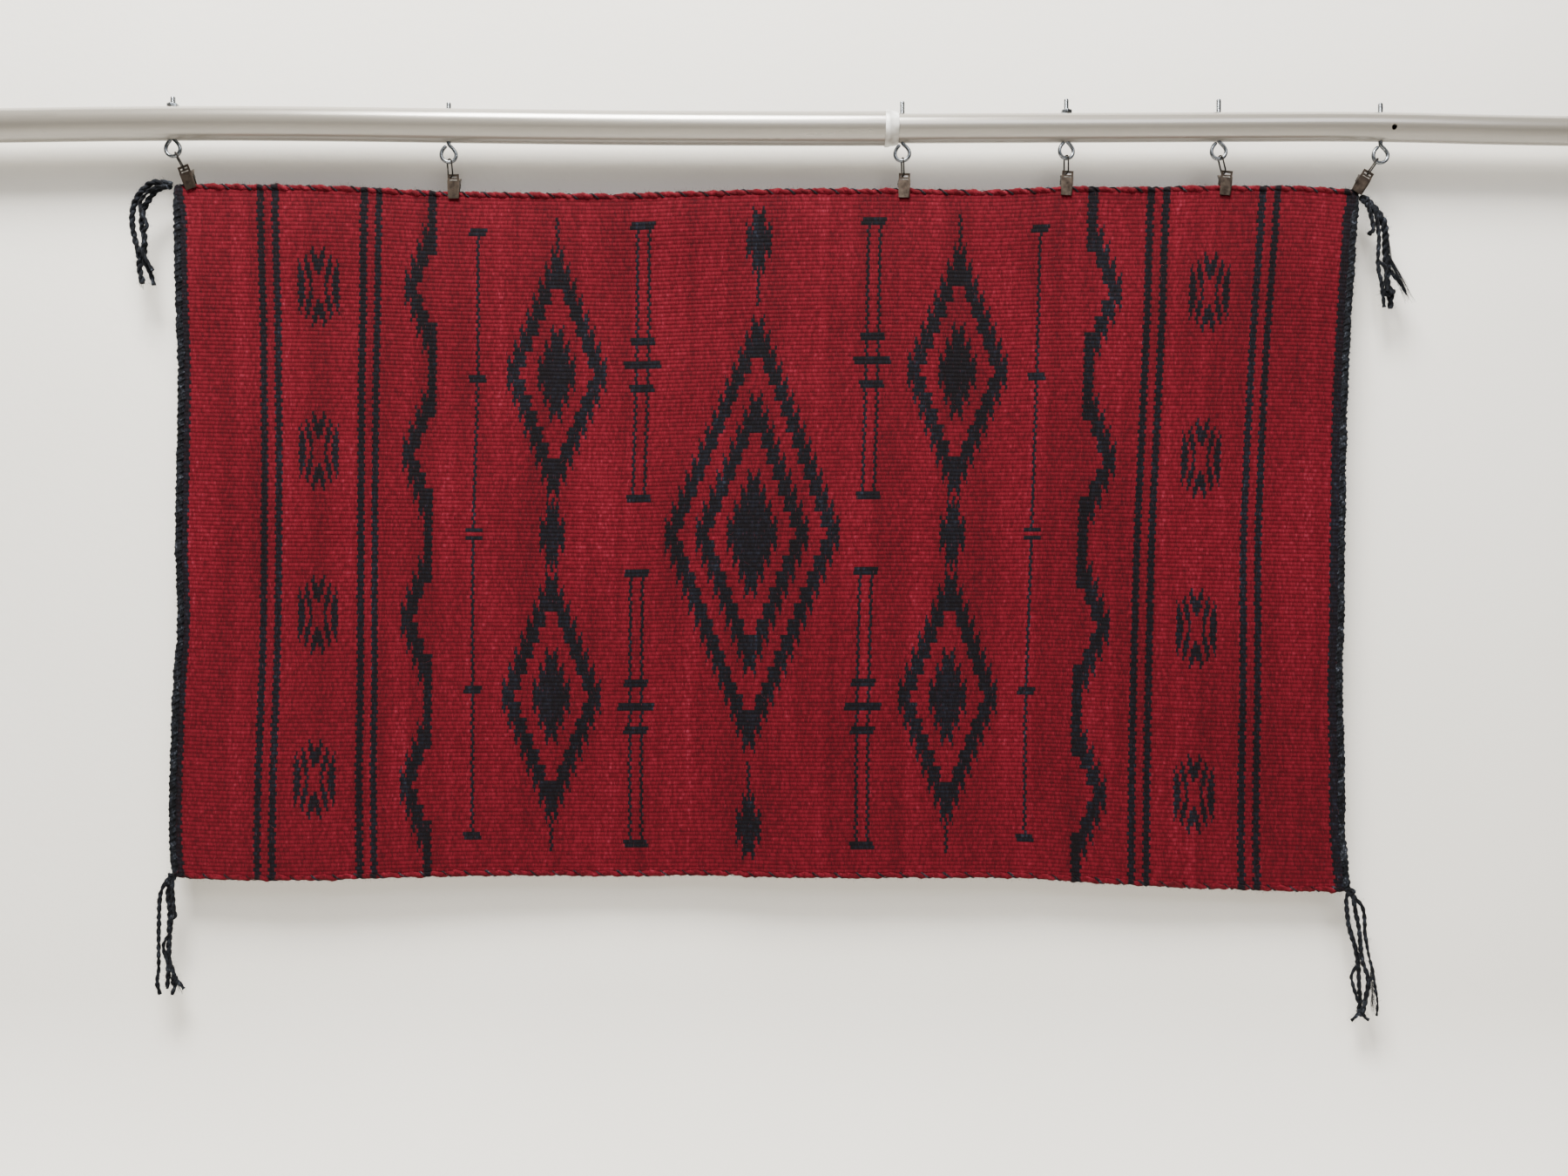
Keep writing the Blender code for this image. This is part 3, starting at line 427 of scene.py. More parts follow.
def material_named(name, roughness, metallic=0.0, sheen=0.0, sheen_tint="#FFFFFF", specular=0.5):
    """Return a new material, its node tree and its shader with the values that don't vary."""
    material = bpy.data.materials.new(name)
    material.use_nodes = True
    shader = material.node_tree.nodes["Principled BSDF"]
    values = {"Roughness": roughness, "Metallic": metallic, "Specular IOR Level": specular,
              "Sheen Weight": sheen, "Sheen Roughness": 0.45, "Sheen Tint": linear(sheen_tint)}
    for key, value in values.items():
        shader.inputs[key].default_value = value
    return material, material.node_tree, shader


def link_surface(tree, shader, base, height=None, strength=1.0, distance=0.0005, roughness=None):
    """Link a surface's colour, its bump and its roughness to its shader."""
    tree.links.new(base, shader.inputs["Base Color"])
    if height:
        bump = add(tree, "ShaderNodeBump", strength, distance, None, height)
        tree.links.new(bump, shader.inputs["Normal"])
    if roughness:
        tree.links.new(roughness, shader.inputs["Roughness"])


def mask_group(name, *labels):
    """A shader group with named inputs and a mask as its output, and the inputs' values."""
    group = bpy.data.node_groups.new(name, "ShaderNodeTree")
    for label in labels:
        group.interface.new_socket(label, in_out="INPUT", socket_type="NodeSocketFloat")
    group.interface.new_socket("Mask", in_out="OUTPUT", socket_type="NodeSocketFloat")
    return group, group.nodes.new("NodeGroupInput").outputs[:len(labels)]


def between(tree, value, start, end):
    """Where a value lies between two others."""
    after = add(tree, MATH, value, start, operation="GREATER_THAN")
    before = add(tree, MATH, value, end, operation="LESS_THAN")
    return add(tree, MATH, after, before, operation="MULTIPLY")


def step_mask_group():
    """Serrated steps: black where a step's block and its spike reach, red inside the edge."""
    group, given = mask_group("Serrated steps", "Across", "Along", "Blocks", "Thick")
    across, along, blocks, thick = given
    share = add(group, MATH, across, STEP_WIDTH, operation="DIVIDE")
    block = add(group, MATH, share, operation="FLOOR")
    inside = add(group, MATH, share, operation="FRACT")
    left = add(group, MATH, blocks, block, operation="SUBTRACT")
    limit = add(group, MATH, left, STEP_RISE, STEP_START, operation="MULTIPLY_ADD")
    spike = add(group, MATH, inside, STEP_SPIKE, limit, operation="MULTIPLY_ADD")
    hollow = add(group, MATH, thick, -STEP_RISE, limit, operation="MULTIPLY_ADD")
    edge = between(group, along, hollow, spike)
    first = add(group, MATH, across, 0.0, operation="GREATER_THAN")
    last = add(group, MATH, left, -0.5, operation="GREATER_THAN")
    mask = add(group, MATH, edge, first, operation="MULTIPLY")
    mask = add(group, MATH, mask, last, operation="MULTIPLY")
    group.links.new(mask, group.nodes.new("NodeGroupOutput").inputs[0])
    return group


def curve_of(tree, share, values):
    """A curve that gives each rib of the star its own value."""
    result = add(tree, "ShaderNodeFloatCurve", 1.0, share)
    mapping = result.node.mapping
    points = mapping.curves[0].points
    count = len(values)
    places = [((row + 0.5) / count, value / STAR_REACH) for row, value in enumerate(values)]
    points[0].location, points[1].location = places[0], places[-1]
    for place in places[1:-1]:
        points.new(*place)
    for point in points:
        point.handle_type = "VECTOR"
    mapping.update()
    return add(tree, MATH, result, STAR_REACH, operation="MULTIPLY")


def star_mask_group():
    """The small serrated star, from its chart."""
    group, (across, along) = mask_group("Small star", "Across", "Along")
    rows = len(STAR_ROWS)
    row = add(group, MATH, along, operation="FLOOR")
    share = add(group, MATH, row, 1.0 / rows, 0.5 / rows, operation="MULTIPLY_ADD")
    inside = add(group, MATH, along, float(rows), operation="LESS_THAN")
    spans = 0.0
    for part in StarRow._fields:
        start = curve_of(group, share, [getattr(chart, part)[0] for chart in STAR_ROWS])
        end = curve_of(group, share, [getattr(chart, part)[1] for chart in STAR_ROWS])
        spans = add(group, MATH, between(group, across, start, end), spans, operation="MAXIMUM")
    mask = add(group, MATH, spans, inside, operation="MULTIPLY")
    group.links.new(mask, group.nodes.new("NodeGroupOutput").inputs[0])
    return group


def away_from(tree, value, middle):
    """How far a value lies from a middle, either way."""
    offset = add(tree, MATH, value, middle, operation="SUBTRACT")
    return add(tree, MATH, offset, operation="ABSOLUTE")


def motif_rib(tree, rib, column):
    """How many ribs away the nearest motif of a column is."""
    start = add(tree, MATH, rib, column.rung, operation="SUBTRACT")
    turns = add(tree, MATH, start, column.pitch, operation="DIVIDE")
    turn = add(tree, MATH, turns, operation="ROUND")
    turn = add(tree, MATH, turn, 0.0, operation="MAXIMUM")
    turn = add(tree, MATH, turn, MOTIFS_A_COLUMN - 1.0, operation="MINIMUM")
    middle = add(tree, MATH, turn, column.pitch, column.rung, operation="MULTIPLY_ADD")
    return away_from(tree, rib, middle)


def bar_mask(tree, across, along, bar):
    """A plain bar: a width about its place, between two ribs."""
    offset = away_from(tree, across, bar.place)
    wide = add(tree, MATH, offset, bar.half_width, operation="LESS_THAN")
    return add(tree, MATH, wide, between(tree, along, bar.start, bar.end), operation="MULTIPLY")


def design_mask(tree, place, rib, rib_count):
    """Where the web is black: end bands, stripes, stars, zigzags and the middle field."""
    steps, star = step_mask_group(), star_mask_group()
    masks = [add(tree, MATH, place, WEB_LEFT + LEFT_BAND, operation="LESS_THAN"),
             add(tree, MATH, place, WEB_RIGHT - RIGHT_BAND, operation="GREATER_THAN")]
    for middle in STRIPE_PLACES:
        offset = away_from(tree, place, middle)
        offset = away_from(tree, offset, STRIPE_APART)
        masks.append(add(tree, MATH, offset, STRIPE_HALF, operation="LESS_THAN"))
    for column in (LEFT_STARS, RIGHT_STARS):
        masks.append(add(tree, "ShaderNodeGroup", away_from(tree, place, column.place),
                         motif_rib(tree, rib, column), node_tree=star))
    for zigzag in ZIGZAGS:
        across = add(tree, MATH, place, zigzag.column.place, operation="SUBTRACT")
        across = add(tree, MATH, across, zigzag.way, operation="MULTIPLY")
        along = motif_rib(tree, rib, zigzag.column)
        lobe = add(tree, "ShaderNodeGroup", across, along, LOBE_BLOCKS, zigzag.thick,
                   node_tree=steps)
        middle, half = (zigzag.start + zigzag.end) / 2, (zigzag.end - zigzag.start) / 2
        masks += [lobe, bar_mask(tree, across, along,
                                 FieldLine(middle, half, zigzag.straight, rib_count))]
    across = away_from(tree, place, FIELD_MIDDLE)
    along = away_from(tree, rib, rib_count / 2)
    for diamond in DIAMONDS:
        masks.append(add(tree, "ShaderNodeGroup", away_from(tree, across, diamond.place),
                         away_from(tree, along, diamond.rung), float(diamond.blocks),
                         float(diamond.thick), node_tree=steps))
    masks += [bar_mask(tree, across, along, bar) for bar in (*FIELD_LINES, *FIELD_BARS)]
    total = masks[0]
    for mask in masks[1:]:
        total = add(tree, MATH, total, mask, operation="MAXIMUM")
    return total


def tapestry_material(weave):
    """Handspun wool tapestry, weft-faced: rounded ribs of packed yarn, dull with a soft sheen,
    uneven from yarn to yarn, with short bright and dark flecks where fibres stand up."""
    material, tree, shader = material_named("handspun_wool_tapestry", 0.88, sheen=weave.sheen,
                                            sheen_tint="#D06070", specular=0.10)
    placed = add(tree, "ShaderNodeAttribute", attribute_name="weave", out="Vector")
    split = add(tree, "ShaderNodeSeparateXYZ", placed).node
    place, rib = split.outputs[0], split.outputs[1]
    row = add(tree, MATH, rib, operation="FLOOR")
    row_middle = add(tree, MATH, row, 0.5, operation="ADD")
    parity = add(tree, MATH, row, 2.0, operation="MODULO")
    # Wefts cross at slightly different places from rib to rib, which breaks up every edge.
    wander = add(tree, "ShaderNodeTexNoise", named={
        "W": add(tree, MATH, row, 7.31, operation="MULTIPLY"), "Scale": 1.0, "Detail": 0.0},
        noise_dimensions="1D")
    wander = add(tree, MATH, wander, 0.5, operation="SUBTRACT")
    tooth = add(tree, MATH, parity, 1.4, -0.7, operation="MULTIPLY_ADD")
    shift = add(tree, MATH, wander, 1.6, tooth, operation="MULTIPLY_ADD")
    edge = add(tree, MATH, place, shift, operation="ADD")
    mask = design_mask(tree, edge, row_middle, float(weave.rib_count))

    # One bead is one weft over one rib. They are drawn 1.5 mm wide, coarser than the real 0.9 mm.
    bead_row = add(tree, MATH, place, 1.0 / weave.bead_mm, operation="MULTIPLY")
    bead_place = add(tree, MATH, parity, 0.5, bead_row, operation="MULTIPLY_ADD")
    wobble = add(tree, "ShaderNodeTexNoise", placed, named={"Scale": 0.35, "Detail": 1.0})
    bead_place = add(tree, MATH, wobble, 2.5, bead_place, operation="MULTIPLY_ADD")
    bead = add(tree, MATH, bead_place, operation="FLOOR")
    bead_share = add(tree, MATH, bead_place, operation="FRACT")
    bead_key = add(tree, "ShaderNodeCombineXYZ", bead, row, 0.0)
    chance = add(tree, "ShaderNodeTexWhiteNoise", bead_key, noise_dimensions="2D")

    rib_share = add(tree, MATH, rib, operation="FRACT")
    rib_turn = add(tree, MATH, rib_share, math.pi, operation="MULTIPLY")
    crest = add(tree, MATH, rib_turn, operation="SINE")
    bead_turn = add(tree, MATH, bead_share, math.pi, operation="MULTIPLY")
    swell = add(tree, MATH, bead_turn, operation="SINE")

    # Tone: bands of unevenly dyed yarn run along the weft, with mottling at several scales.
    streaks = add(tree, "ShaderNodeMapping", placed, named={"Scale": (0.06, 0.004, 0.0)})
    bands = add(tree, "ShaderNodeTexNoise", streaks, named={"Scale": 1.0, "Detail": 3.0})
    patches = add(tree, "ShaderNodeTexNoise", placed, named={"Scale": 0.018, "Detail": 2.0})
    spots_at = add(tree, "ShaderNodeMapping", placed, named={"Scale": (0.30, 0.55, 0.0)})
    spots = add(tree, "ShaderNodeTexNoise", spots_at, named={"Scale": 1.0, "Detail": 2.0})
    tone = add(tree, MATH, bands, 0.42, operation="MULTIPLY")
    tone = add(tree, MATH, patches, 0.35, tone, operation="MULTIPLY_ADD")
    tone = add(tree, MATH, spots, 0.50, tone, operation="MULTIPLY_ADD")
    tone = add(tree, MATH, chance, 0.20, tone, operation="MULTIPLY_ADD")
    tone = add(tree, "ShaderNodeMapRange", tone, 0.45, 1.12)
    # Painted highlight on each rib's crest and painted shade between ribs: the red and black tones
    # rise with the crest.
    painted_crest_light = add(tree, MATH, crest, 0.22, -0.12, operation="MULTIPLY_ADD")
    tone = add(tree, MATH, tone, painted_crest_light, operation="ADD", use_clamp=True)
    reds = (weave.red_deep, weave.red_main, weave.red_bright, weave.red_tip)
    blacks = (weave.black_deep, weave.black_main, weave.black_bright, weave.black_tip)
    red = add(tree, "ShaderNodeValToRGB", tone, stops=list(zip(WOOL_TONES, reds)))
    black = add(tree, "ShaderNodeValToRGB", tone, stops=list(zip(WOOL_TONES, blacks)))
    base = add(tree, "ShaderNodeMix", mask, named={MIX_A: red, MIX_B: black}, out=MIX_RESULT,
               data_type="RGBA")
    # Stray pale fibres catch the light here and there.
    stray_at = add(tree, "ShaderNodeMapping", placed, named={"Scale": (1.1, 0.55, 0.0),
                                                             "Rotation": (0.0, 0.0, 0.15)})
    stray = add(tree, "ShaderNodeTexNoise", stray_at, named={"Scale": 1.0, "Detail": 2.0})
    stray = add(tree, "ShaderNodeMapRange", stray, 0.66, 0.82, 0.0, 0.42)
    base = add(tree, "ShaderNodeMix", stray, named={MIX_A: base, MIX_B: weave.stray_fibre},
               out=MIX_RESULT, data_type="RGBA")
    # Painted shade between the ribs: the colour is multiplied darker where a rib's crest falls
    # away.
    valley = add(tree, "ShaderNodeMapRange", crest, 0.0, 0.65, weave.valley_shade, 1.0)
    grey = add(tree, "ShaderNodeCombineColor", valley, valley, valley)
    base = add(tree, "ShaderNodeMix", 1.0, named={MIX_A: base, MIX_B: grey}, out=MIX_RESULT,
               data_type="RGBA", blend_type="MULTIPLY")

    fibres = add(tree, "ShaderNodeTexNoise", placed, named={"Scale": 2.2, "Detail": 3.0})
    height = add(tree, MATH, swell, crest, operation="MULTIPLY")
    height = add(tree, MATH, height, 0.42, operation="MULTIPLY")
    height = add(tree, MATH, fibres, 0.8, height, operation="MULTIPLY_ADD")
    height = add(tree, MATH, chance, 0.35, height, operation="MULTIPLY_ADD")
    link_surface(tree, shader, base, height, strength=0.9, distance=0.0004)
    return material


def yarn_material(name, deep, main, bright, tip, sheen_tint):
    """Plied wool yarn: fine fibres run round each ply at a slant, dull, with fuzz-light edges."""
    material, tree, shader = material_named(name, 0.9, sheen=0.12, sheen_tint=sheen_tint,
                                            specular=0.10)
    placed = add(tree, "ShaderNodeTexCoord", out="Object")
    fine = add(tree, "ShaderNodeMapping", placed, named={"Scale": (900.0, 900.0, 350.0),
                                                         "Rotation": (0.0, 0.6, 0.0)})
    fibres = add(tree, "ShaderNodeTexNoise", fine, named={"Scale": 1.0, "Detail": 3.0})
    clumps = add(tree, "ShaderNodeTexNoise", placed, named={"Scale": 140.0, "Detail": 2.0})
    tone = add(tree, MATH, fibres, 0.55, operation="MULTIPLY")
    tone = add(tree, MATH, clumps, 0.6, tone, operation="MULTIPLY_ADD")
    tone = add(tree, "ShaderNodeMapRange", tone, 0.35, 0.80)
    base = add(tree, "ShaderNodeValToRGB", tone,
               stops=((0.0, deep), (0.45, main), (0.75, bright), (1.0, tip)))
    dark = add(tree, "ShaderNodeAttribute", attribute_name="dark_turn", out="Fac")
    base = add(tree, "ShaderNodeMix", dark, named={MIX_A: base, MIX_B: linear("#06070B")},
               out=MIX_RESULT, data_type="RGBA")
    link_surface(tree, shader, base, fibres, strength=0.8, distance=0.0004)
    return material


def painted_tube_material(rod):
    """Pearl white enamel on thin steel tube: smooth, with metal in it, so that it is white where
    light falls and grey below. It has a little orange peel and faint dull handling marks."""
    material, tree, shader = material_named("pearl_white_enamel", 0.30, metallic=0.35)
    shader.inputs["Coat Weight"].default_value = 1.0
    shader.inputs["Coat Roughness"].default_value = 0.22
    shader.inputs["Coat IOR"].default_value = 1.9
    placed = add(tree, "ShaderNodeTexCoord", out="Object")
    long_marks = add(tree, "ShaderNodeMapping", placed, named={"Scale": (6.0, 60.0, 60.0)})
    marks = add(tree, "ShaderNodeTexNoise", long_marks, named={"Scale": 1.0, "Detail": 4.0})
    worn = add(tree, "ShaderNodeMapRange", marks, 0.35, 0.75)
    base = add(tree, "ShaderNodeValToRGB", worn,
               stops=((0.0, rod.tube_white), (0.8, rod.tube_worn), (1.0, rod.tube_mark)))
    peel = add(tree, "ShaderNodeTexNoise", placed, named={"Scale": 450.0, "Detail": 1.0})
    roughness = add(tree, "ShaderNodeMapRange", marks, 0.3, 0.8, 0.26, 0.46)
    link_surface(tree, shader, base, peel, strength=0.15, distance=0.0002, roughness=roughness)
    return material


def moulded_plastic_material(rod):
    """Moulded white PVC: even colour, soft gloss, faintly cloudy."""
    material, tree, shader = material_named("moulded_white_pvc", 0.38, specular=0.5)
    placed = add(tree, "ShaderNodeTexCoord", out="Object")
    cloud = add(tree, "ShaderNodeTexNoise", placed, named={"Scale": 60.0, "Detail": 2.0})
    base = add(tree, "ShaderNodeValToRGB", cloud,
               stops=((0.3, rod.collar_white), (0.8, rod.tube_worn)))
    link_surface(tree, shader, base, cloud, strength=0.1, distance=0.0002)
    return material


def plated_material(name, low, high, rough_low, rough_high, scale):
    """Plated metal: the plate's tone and gloss shift in small patches, brighter where rubbed."""
    material, tree, shader = material_named(name, rough_low, metallic=1.0)
    placed = add(tree, "ShaderNodeTexCoord", out="Object")
    patches = add(tree, "ShaderNodeTexNoise", placed, named={"Scale": scale, "Detail": 4.0})
    share = add(tree, "ShaderNodeMapRange", patches, 0.32, 0.70)
    base = add(tree, "ShaderNodeValToRGB", share, stops=((0.0, low), (1.0, high)))
    roughness = add(tree, "ShaderNodeMapRange", patches, 0.3, 0.7, rough_high, rough_low)
    link_surface(tree, shader, base, patches, strength=0.15, distance=0.0001, roughness=roughness)
    return material


def wall_material(stage):
    """Matt paint with a faint roller texture, which turns to the floor's tone in front of the wall.
    It is clear from behind and casts no shadow."""
    material, tree, shader = material_named("matt_pale_paint", 0.85, specular=0.2)
    placed = add(tree, "ShaderNodeTexCoord", out="Object")
    roller = add(tree, "ShaderNodeTexNoise", placed, named={"Scale": 90.0, "Detail": 4.0})
    cloud = add(tree, "ShaderNodeTexNoise", placed, named={"Scale": 2.2, "Detail": 2.0})
    base = add(tree, "ShaderNodeValToRGB", cloud,
               stops=((0.3, stage.wall_low), (0.7, stage.wall_high)))
    forward = add(tree, "ShaderNodeSeparateXYZ", placed, out="Y")
    floor = add(tree, "ShaderNodeMapRange", forward, *FLOOR_FADE, interpolation_type="SMOOTHSTEP")
    base = add(tree, "ShaderNodeMix", floor, named={MIX_A: base, MIX_B: stage.floor_tone},
               out=MIX_RESULT, data_type="RGBA")
    link_surface(tree, shader, base, roller, strength=0.25, distance=0.001)
    behind = add(tree, "ShaderNodeNewGeometry").node.outputs["Backfacing"]
    shadow = add(tree, "ShaderNodeLightPath").node.outputs["Is Shadow Ray"]
    either = add(tree, MATH, behind, shadow, operation="MAXIMUM")
    clear = add(tree, "ShaderNodeBsdfTransparent")
    surface = add(tree, "ShaderNodeMixShader", either, shader.outputs[0], clear)
    tree.links.new(surface, tree.nodes["Material Output"].inputs["Surface"])
    return material


def table_value(table, position):
    """Read a two-column table at a position, on a smooth curve through its rows."""
    if position <= table[0][0]:
        return table[0][1]
    if position >= table[-1][0]:
        return table[-1][1]
    index = max(i for i, row in enumerate(table[:-1]) if row[0] <= position)
    start, end = table[index], table[index + 1]
    before = table[max(index - 1, 0)]
    after = table[min(index + 2, len(table) - 1)]
    width = end[0] - start[0]
    slope_start = (end[1] - before[1]) / (end[0] - before[0])
    slope_end = (after[1] - start[1]) / (after[0] - start[0])
    t = (position - start[0]) / width
    return ((2 * t ** 3 - 3 * t ** 2 + 1) * start[1]
            + (t ** 3 - 2 * t ** 2 + t) * width * slope_start
            + (3 * t ** 2 - 2 * t ** 3) * end[1]
            + (t ** 3 - t ** 2) * width * slope_end)


def smooth_route(points, step):
    """Return points about one step apart on a smooth curve through the route's points."""
    route = []
    for i in range(len(points) - 1):
        before = points[max(i - 1, 0)]
        start, end = points[i], points[i + 1]
        after = points[min(i + 2, len(points) - 1)]
        count = max(1, round((end - start).length / step))
        for j in range(count):
            t = j / count
            route.append(0.5 * (2 * start + (end - before) * t
                                + (2 * before - 5 * start + 4 * end - after) * t ** 2
                                + (3 * start - before - 3 * end + after) * t ** 3))
    route.append(points[-1])
    return route


def clip_point(hanger, side, height):
    """The x and z of a point in a clip's own frame, which leans in the rug's plane."""
    lean = math.radians(hanger.lean)
    return (hanger.clip_x + side * math.cos(lean) - height * math.sin(lean),
            hanger.clip_z + side * math.sin(lean) + height * math.cos(lean))


def eye_centre(hanger):
    """The eye hangs straight over its slot, one link's reach away."""
    slot_x, slot_z = clip_point(hanger, hanger.slot_side, SLOT_MIDDLE)
    across = slot_x - hanger.bolt_x
    return Vector((hanger.bolt_x, 0.0, slot_z + math.sqrt(LINK_REACH ** 2 - across ** 2)))


def fold_depth(x, z):
    """The sheet's middle stands here along Y: its folds, pinned flat where a clip holds it."""
    forward = sum(depth * math.exp(-((x - fold_x) / reach_x) ** 2 - ((z - fold_z) / reach_z) ** 2)
                  for fold_x, fold_z, reach_x, reach_z, depth in FOLDS)
    forward += 1.1 * noise.noise(Vector((x / 85.0, z / 60.0, 0.3)))
    for hanger in HANGERS:
        grip_x, grip_z = clip_point(hanger, 0.0, -CLIP_HALF_LENGTH)
        distance = math.hypot(x - grip_x, z - grip_z)
        forward *= 1.0 - math.exp(-(distance / HELD_REACH) ** 4)
    return RUG_Y - forward


def end_cord_radius(depth):
    """Radius of an end cord at a depth below the rug's top edge."""
    share = min(max((depth - THIN_DEPTH) / (FULL_DEPTH - THIN_DEPTH), 0.0), 1.0)
    return SIDE_CORD_RADIUS + (END_CORD_RADIUS - SIDE_CORD_RADIUS) * share


def web_height(x, share):
    """Height of the web at x, at a share of the way from its bottom edge to its top edge."""
    margin = 2 * SIDE_CORD_RADIUS + GAP
    low = table_value(BOTTOM_LINE, x) + margin
    high = table_value(TOP_LINE, x) - margin
    return low + (high - low) * share


def web_edge(line, share, way):
    """The x of the web's left or right edge at a share of its height. Way is 1 for the left."""
    x = line[0][1]
    z = web_height(x, share)
    depth = table_value(TOP_LINE, x) - 2 * SIDE_CORD_RADIUS - GAP - z
    return table_value(line, z) + way * (2 * end_cord_radius(depth) + GAP)


def band_edge(line, share, way, band):
    """The x of an end band's inner edge, which keeps its distance from the rug's outline."""
    z = web_height(line[0][1], share)
    return table_value(line, z) + way * (2 * END_CORD_RADIUS + GAP + band)


def drift_knots(share):
    """Pairs of place in the design and x, across the rug at one height."""
    knots = [(WEB_LEFT, web_edge(LEFT_LINE, share, 1)),
             (WEB_LEFT + LEFT_BAND, band_edge(LEFT_LINE, share, 1, LEFT_BAND))]
    for drift in DRIFTS:
        heights = ((0.0, drift.bottom), (0.25, drift.low), (0.5, drift.middle), (0.75, drift.high),
                   (1.0, drift.top))
        knots.append((drift.place, table_value(heights, share)))
    knots.append((WEB_RIGHT - RIGHT_BAND, band_edge(RIGHT_LINE, share, -1, RIGHT_BAND)))
    knots.append((WEB_RIGHT, web_edge(RIGHT_LINE, share, -1)))
    return knots


def placed_x(knots, place):
    """The x of a place in the design, at the height of its knots."""
    for (start, start_x), (end, end_x) in zip(knots, knots[1:]):
        if place <= end:
            return start_x + (end_x - start_x) * (place - start) / (end - start)
    return end_x + place - end


def scene_object(name, data):
    """Put a mesh, curve, camera or lamp into the scene as a new object."""
    obj = bpy.data.objects.new(name, data)
    bpy.context.scene.collection.objects.link(obj)
    return obj


def hand_over(obj, slot, *nodes):
    """Let a finished piece ride with the part and stand for the solids that it dresses."""
    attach(obj, "root")
    if nodes:
        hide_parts(*nodes)
    return obj


def new_tree(name, sockets):
    """A geometry tree with named inputs. Each socket is a label, its type and its default."""
    tree = bpy.data.node_groups.new(name, "GeometryNodeTree")
    tree.interface.new_socket("Geometry", in_out="INPUT", socket_type="NodeSocketGeometry")
    for label, kind, default in sockets:
        socket = tree.interface.new_socket(label, in_out="INPUT", socket_type=f"NodeSocket{kind}")
        if default is not None:
            socket.default_value = default
    tree.interface.new_socket("Geometry", in_out="OUTPUT", socket_type="NodeSocketGeometry")
    given = tree.nodes.new("NodeGroupInput").outputs
    return tree, given


def close_tree(tree, geometry, material=None):
    """End a geometry tree: real geometry, smooth, with its material where it has only one."""
    geometry = add(tree, "GeometryNodeRealizeInstances", geometry)
    geometry = add(tree, "GeometryNodeSetShadeSmooth", geometry)
    if material:
        geometry = add(tree, "GeometryNodeSetMaterial", geometry, named={"Material": material})
    tree.links.new(geometry, tree.nodes.new("NodeGroupOutput").inputs[0])


def evaluated_mesh(obj):
    """A new mesh of an object as its modifiers leave it."""
    depsgraph = bpy.context.evaluated_depsgraph_get()
    return bpy.data.meshes.new_from_object(
        obj.evaluated_get(depsgraph), preserve_all_data_layers=True, depsgraph=depsgraph)


def grown(obj, tree, values, name):
    """Run a geometry tree on an object, and return its result as a plain mesh object."""
    modifier = obj.modifiers.new(tree.name, "NODES")
    modifier.node_group = tree
    for item in tree.interface.items_tree:
        if item.in_out == "INPUT" and item.name in values:
            modifier[item.identifier] = values[item.name]
    mesh = evaluated_mesh(obj)
    data, kind = obj.data, obj.type
    bpy.data.objects.remove(obj, do_unlink=True)
    if kind == "CURVE":
        bpy.data.curves.remove(data)
    mesh.name = name
    return scene_object(name, mesh)


def poly_curve(name, routes):
    """A curve object of open or closed splines. A route is its points, radii and if it closes."""
    curve = bpy.data.curves.new(name, "CURVE")
    curve.dimensions = "3D"
    for points, radii, closed in routes:
        spline = curve.splines.new("POLY")
        spline.points.add(len(points) - 1)
        spline.use_cyclic_u = closed
        for place, point, radius in zip(spline.points, points, radii):
            place.co = (*(Vector(point) * MM), 1.0)
            place.radius = radius
    return scene_object(name, curve)


def rib_tree(material):
    """Raises a rounded rib over each warp, on both faces of the web."""
    tree, given = new_tree("Weft ribs", (("Rib height", "Float", 0.0007),))
    weave = add(tree, "GeometryNodeInputNamedAttribute", "weave", data_type="FLOAT_VECTOR")
    rib = add(tree, "ShaderNodeSeparateXYZ", weave, out="Y")
    turn = add(tree, MATH, rib, math.pi, operation="MULTIPLY")
    swell = add(tree, MATH, add(tree, MATH, turn, operation="SINE"), operation="ABSOLUTE")
    slow = add(tree, "ShaderNodeTexNoise", weave, named={"Scale": 0.12, "Detail": 2.0})
    uneven = add(tree, MATH, slow, 0.9, 0.55, operation="MULTIPLY_ADD")
    height = add(tree, MATH, swell, given["Rib height"], operation="MULTIPLY")
    height = add(tree, MATH, height, uneven, operation="MULTIPLY")
    normal = add(tree, "GeometryNodeInputNormal")
    offset = add(tree, "ShaderNodeVectorMath", normal, named={"Scale": height}, operation="SCALE")
    geometry = add(tree, "GeometryNodeSetPosition", given["Geometry"], named={"Offset": offset})
    close_tree(tree, geometry, material)
    return tree


